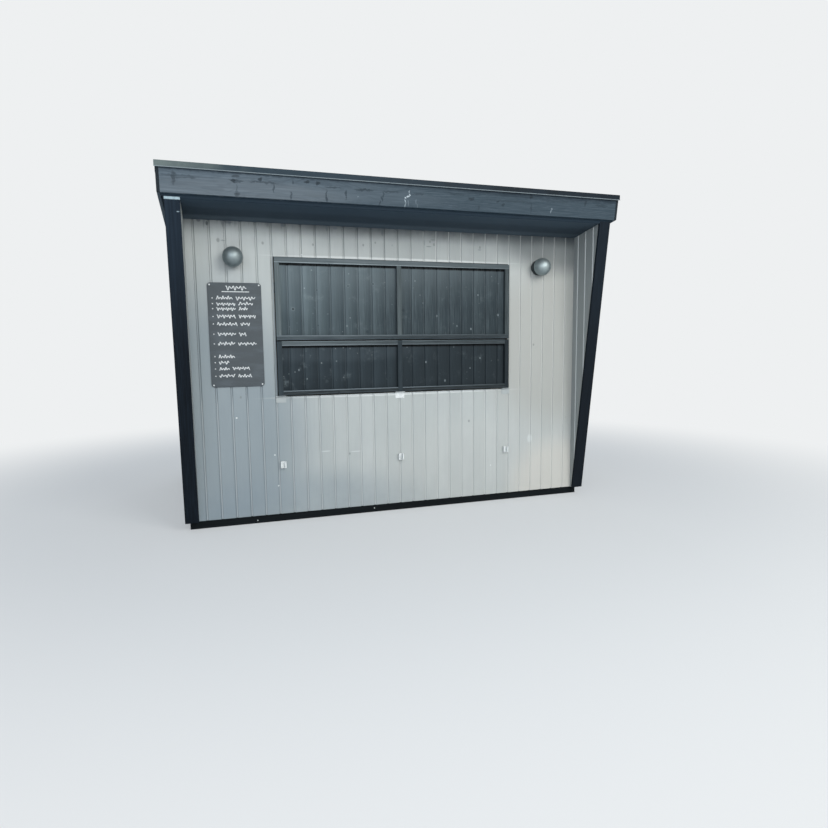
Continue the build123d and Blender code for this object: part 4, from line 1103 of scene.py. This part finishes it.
def chalk_strokes(strokes, width, proud):
    """Rings of flat ribbons on the panel. Each stroke is a start, a length, a height, a swing, a wave length and a
    phase: it runs along X while its height swings as a sine, less at both ends."""
    start, length, height, swing, wave, phase = np.array(strokes, float).T[:, :, None]
    t = np.linspace(0, 1, stroke_points)
    x = start + length * t
    lift = swing * np.sin(2 * np.pi * length * t / wave + phase) * (0.6 + 0.4 * np.sin(3.1 * length * t / wave))
    centre = np.stack([x, np.full_like(x, menu_low.y), height + lift], -1)
    heading = np.gradient(centre, axis=1)
    side = np.stack([-heading[..., 2], np.zeros_like(x), heading[..., 0]], -1)
    side *= width / 2 / np.linalg.norm(side, axis=-1, keepdims=True)
    front = np.array([0, -proud, 0])
    return np.stack([centre + side, centre - side, centre - side + front, centre + side + front], 2)


stroke_points, chalk_width, chalk_proud, dot_radius, dot_height = 90, 6 * mm, 0.3 * mm, 4.5 * mm, 0.4 * mm
chalk, tree = blank("white_chalk")
crumbs = noise(tree, own_place(tree), 700.0, 3.0)
surface(tree, tinted(tree, "#eceeed", "#8b9396", crumbs, 1.0, 0.4, 0.7), 0.95)
rng = np.random.default_rng(62)
chalk_rows = (116, 158, 196, 254, 310, 386, 460, 556, 602, 650, 706)
row_ends = (350, 345, 290, 345, 300, 270, 345, 180, 135, 340, 300)
strokes = [
    (menu_low.x + 0.105, 0.20, menu_high.z - 0.068, 0.0, 0.1, 0.0),
    (menu_low.x + 0.135, 0.15, menu_high.z - 0.038, 0.018, 0.026, 1.0)]
dots = []
dot_inset, row_inset, stroke_gap, shortest = 0.034, 0.062, 0.024, 0.03
for row, end in zip(chalk_rows, row_ends):
    along, height = row_inset, menu_high.z - row * mm
    dots.append((menu_low.x + dot_inset, menu_low.y, height))
    while along < end * mm - shortest:
        length = min(rng.uniform(0.07, 0.15), end * mm - along)
        strokes.append((menu_low.x + along, length, height + rng.uniform(-3, 3) * mm, rng.uniform(11, 15) * mm,
                        rng.uniform(17, 25) * mm, rng.uniform(0, 6)))
        along += length + stroke_gap
prism_piece("chalk_lines", chalk_strokes(strokes, chalk_width, chalk_proud), chalk, seed=63)
prism_piece("chalk_dots", heads(dots, dot_radius, dot_height), chalk, seed=64)


# Wall lamps: spun steel balls, open to the back, on a round base with a neck. Grey hammered enamel, satin, with the
# dark slit between hood and base. The bases and spigots take a darker copy of the enamel as painted shade, and the
# left lamp is painted darker than the right.
def turned(centres, path):
    """Rings of pieces turned about an axis towards the viewer, from radius and distance before the wall's face."""
    turn = np.linspace(0, 2 * np.pi, lamp_facets, endpoint=False)
    path = np.array(path)
    ring = np.stack([np.cos(turn), np.zeros_like(turn), np.sin(turn)], 1)
    levels = path[:, 0, None, None] * ring - path[:, 1, None, None] * Y
    return np.array(centres, float)[:, None, None] + levels


def lamp_enamel(name, clean, worn, metal):
    """Hammered grey enamel with a fine orange peel and faint weather marks; metal is how much the flake shows. The
    left lamp is painted darker than the right, as painted shade."""
    material, tree = blank(name)
    coords = own_place(tree)
    orange_peel, weather = noise(tree, coords, 420.0, 2.0), noise(tree, coords, 22.0, 5.0)
    colour = tinted(tree, clean, worn, weather, 1.0, 0.35, 0.7)
    # Painted shade on the left lamp.
    left_lamp_shade = scale_to(tree, coordinate(tree, coords, 0), 0.3, 0.0, -1.0, 1.0)
    colour = mix(tree, left_lamp_shade, colour, "#4a5356")
    surface(tree, colour, scale_to(tree, weather, 0.45, 0.53), orange_peel, 0.2, 0.2 * mm, metal=metal)
    return material


ball_enamel = lamp_enamel("grey_ball_enamel", "#98a4a6", "#8a9699", 0.75)
# A darker copy of the enamel, as painted shade on the bases and spigots.
base_enamel = lamp_enamel("dark_base_enamel", "#343b3e", "#2b3235", 0.2)
hood_low, hood_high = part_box("wall_lamp_hoods")
base_low, base_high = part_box("wall_lamp_bases")
lamp_z = (hood_low.z + hood_high.z) / 2
lamp_facets, arc_points = 72, 19
base_radius, neck_radius, base_depth, neck_depth = 66 * mm, 34 * mm, 30 * mm, 66 * mm
ball_radius, ball_wall, ball_centre, ball_rim, spigot_radius = 75 * mm, 3 * mm, 78 * mm, 64 * mm, 17 * mm
lamp_centres = [(x, front_y, lamp_z) for x in (base_low.x + base_radius, base_high.x - base_radius)]
edge = 4 * mm
base_path = [(0, 0), (base_radius, 0), (base_radius, base_depth - edge),
             (base_radius - 0.3 * edge, base_depth - 0.3 * edge), (base_radius - edge, base_depth),
             (neck_radius, base_depth), (neck_radius, neck_depth), (0, neck_depth)]
swing = np.linspace(0, np.pi / 2, arc_points)
outside = [(ball_radius * math.cos(a), ball_centre + ball_radius * math.sin(a)) for a in swing]
inner_radius = ball_radius - ball_wall
inside = [(inner_radius * math.cos(a), ball_centre + inner_radius * math.sin(a)) for a in swing[::-1]]
hood_path = outside[::-1] + [(ball_radius, ball_rim), (inner_radius, ball_rim)] + inside[::-1]
spigot_end = ball_centre + 71 * mm
spigot_path = [(0, neck_depth), (spigot_radius, neck_depth), (spigot_radius, spigot_end), (0, spigot_end)]
for name, path, node, enamel in (("lamp_bases", base_path, "wall_lamp_bases", base_enamel),
                                 ("lamp_balls", hood_path, "wall_lamp_hoods", ball_enamel),
                                 ("lamp_spigots", spigot_path, "wall_lamp_hoods", base_enamel)):
    prism_piece(name, turned(lamp_centres, path), enamel, seed=71, node=node, smooth=True)


# Side door: a leaf of upright boards in the flaps' black, set between planed casings, on three long strap hinges with
# a lever handle.
door_zones = [(door_from + door_gap, door_to - door_gap, level(door_low.z), level(door_high.z))]
prism_piece("door_boards", board_rings(front_origin + door_high.x * X, Y, -X, side_joint, door_zones,
                                       thickness=door_high.x - door_low.x, seed=81),
            flap_boards["lower_flap"], node="door_leaf")
softened("door_casing", plumb_trim, trim_arris)
strap_iron = zinc_plate("galvanised_door_iron")
for node in ("door_hinges", "door_handle"):
    dress(node, strap_iron)
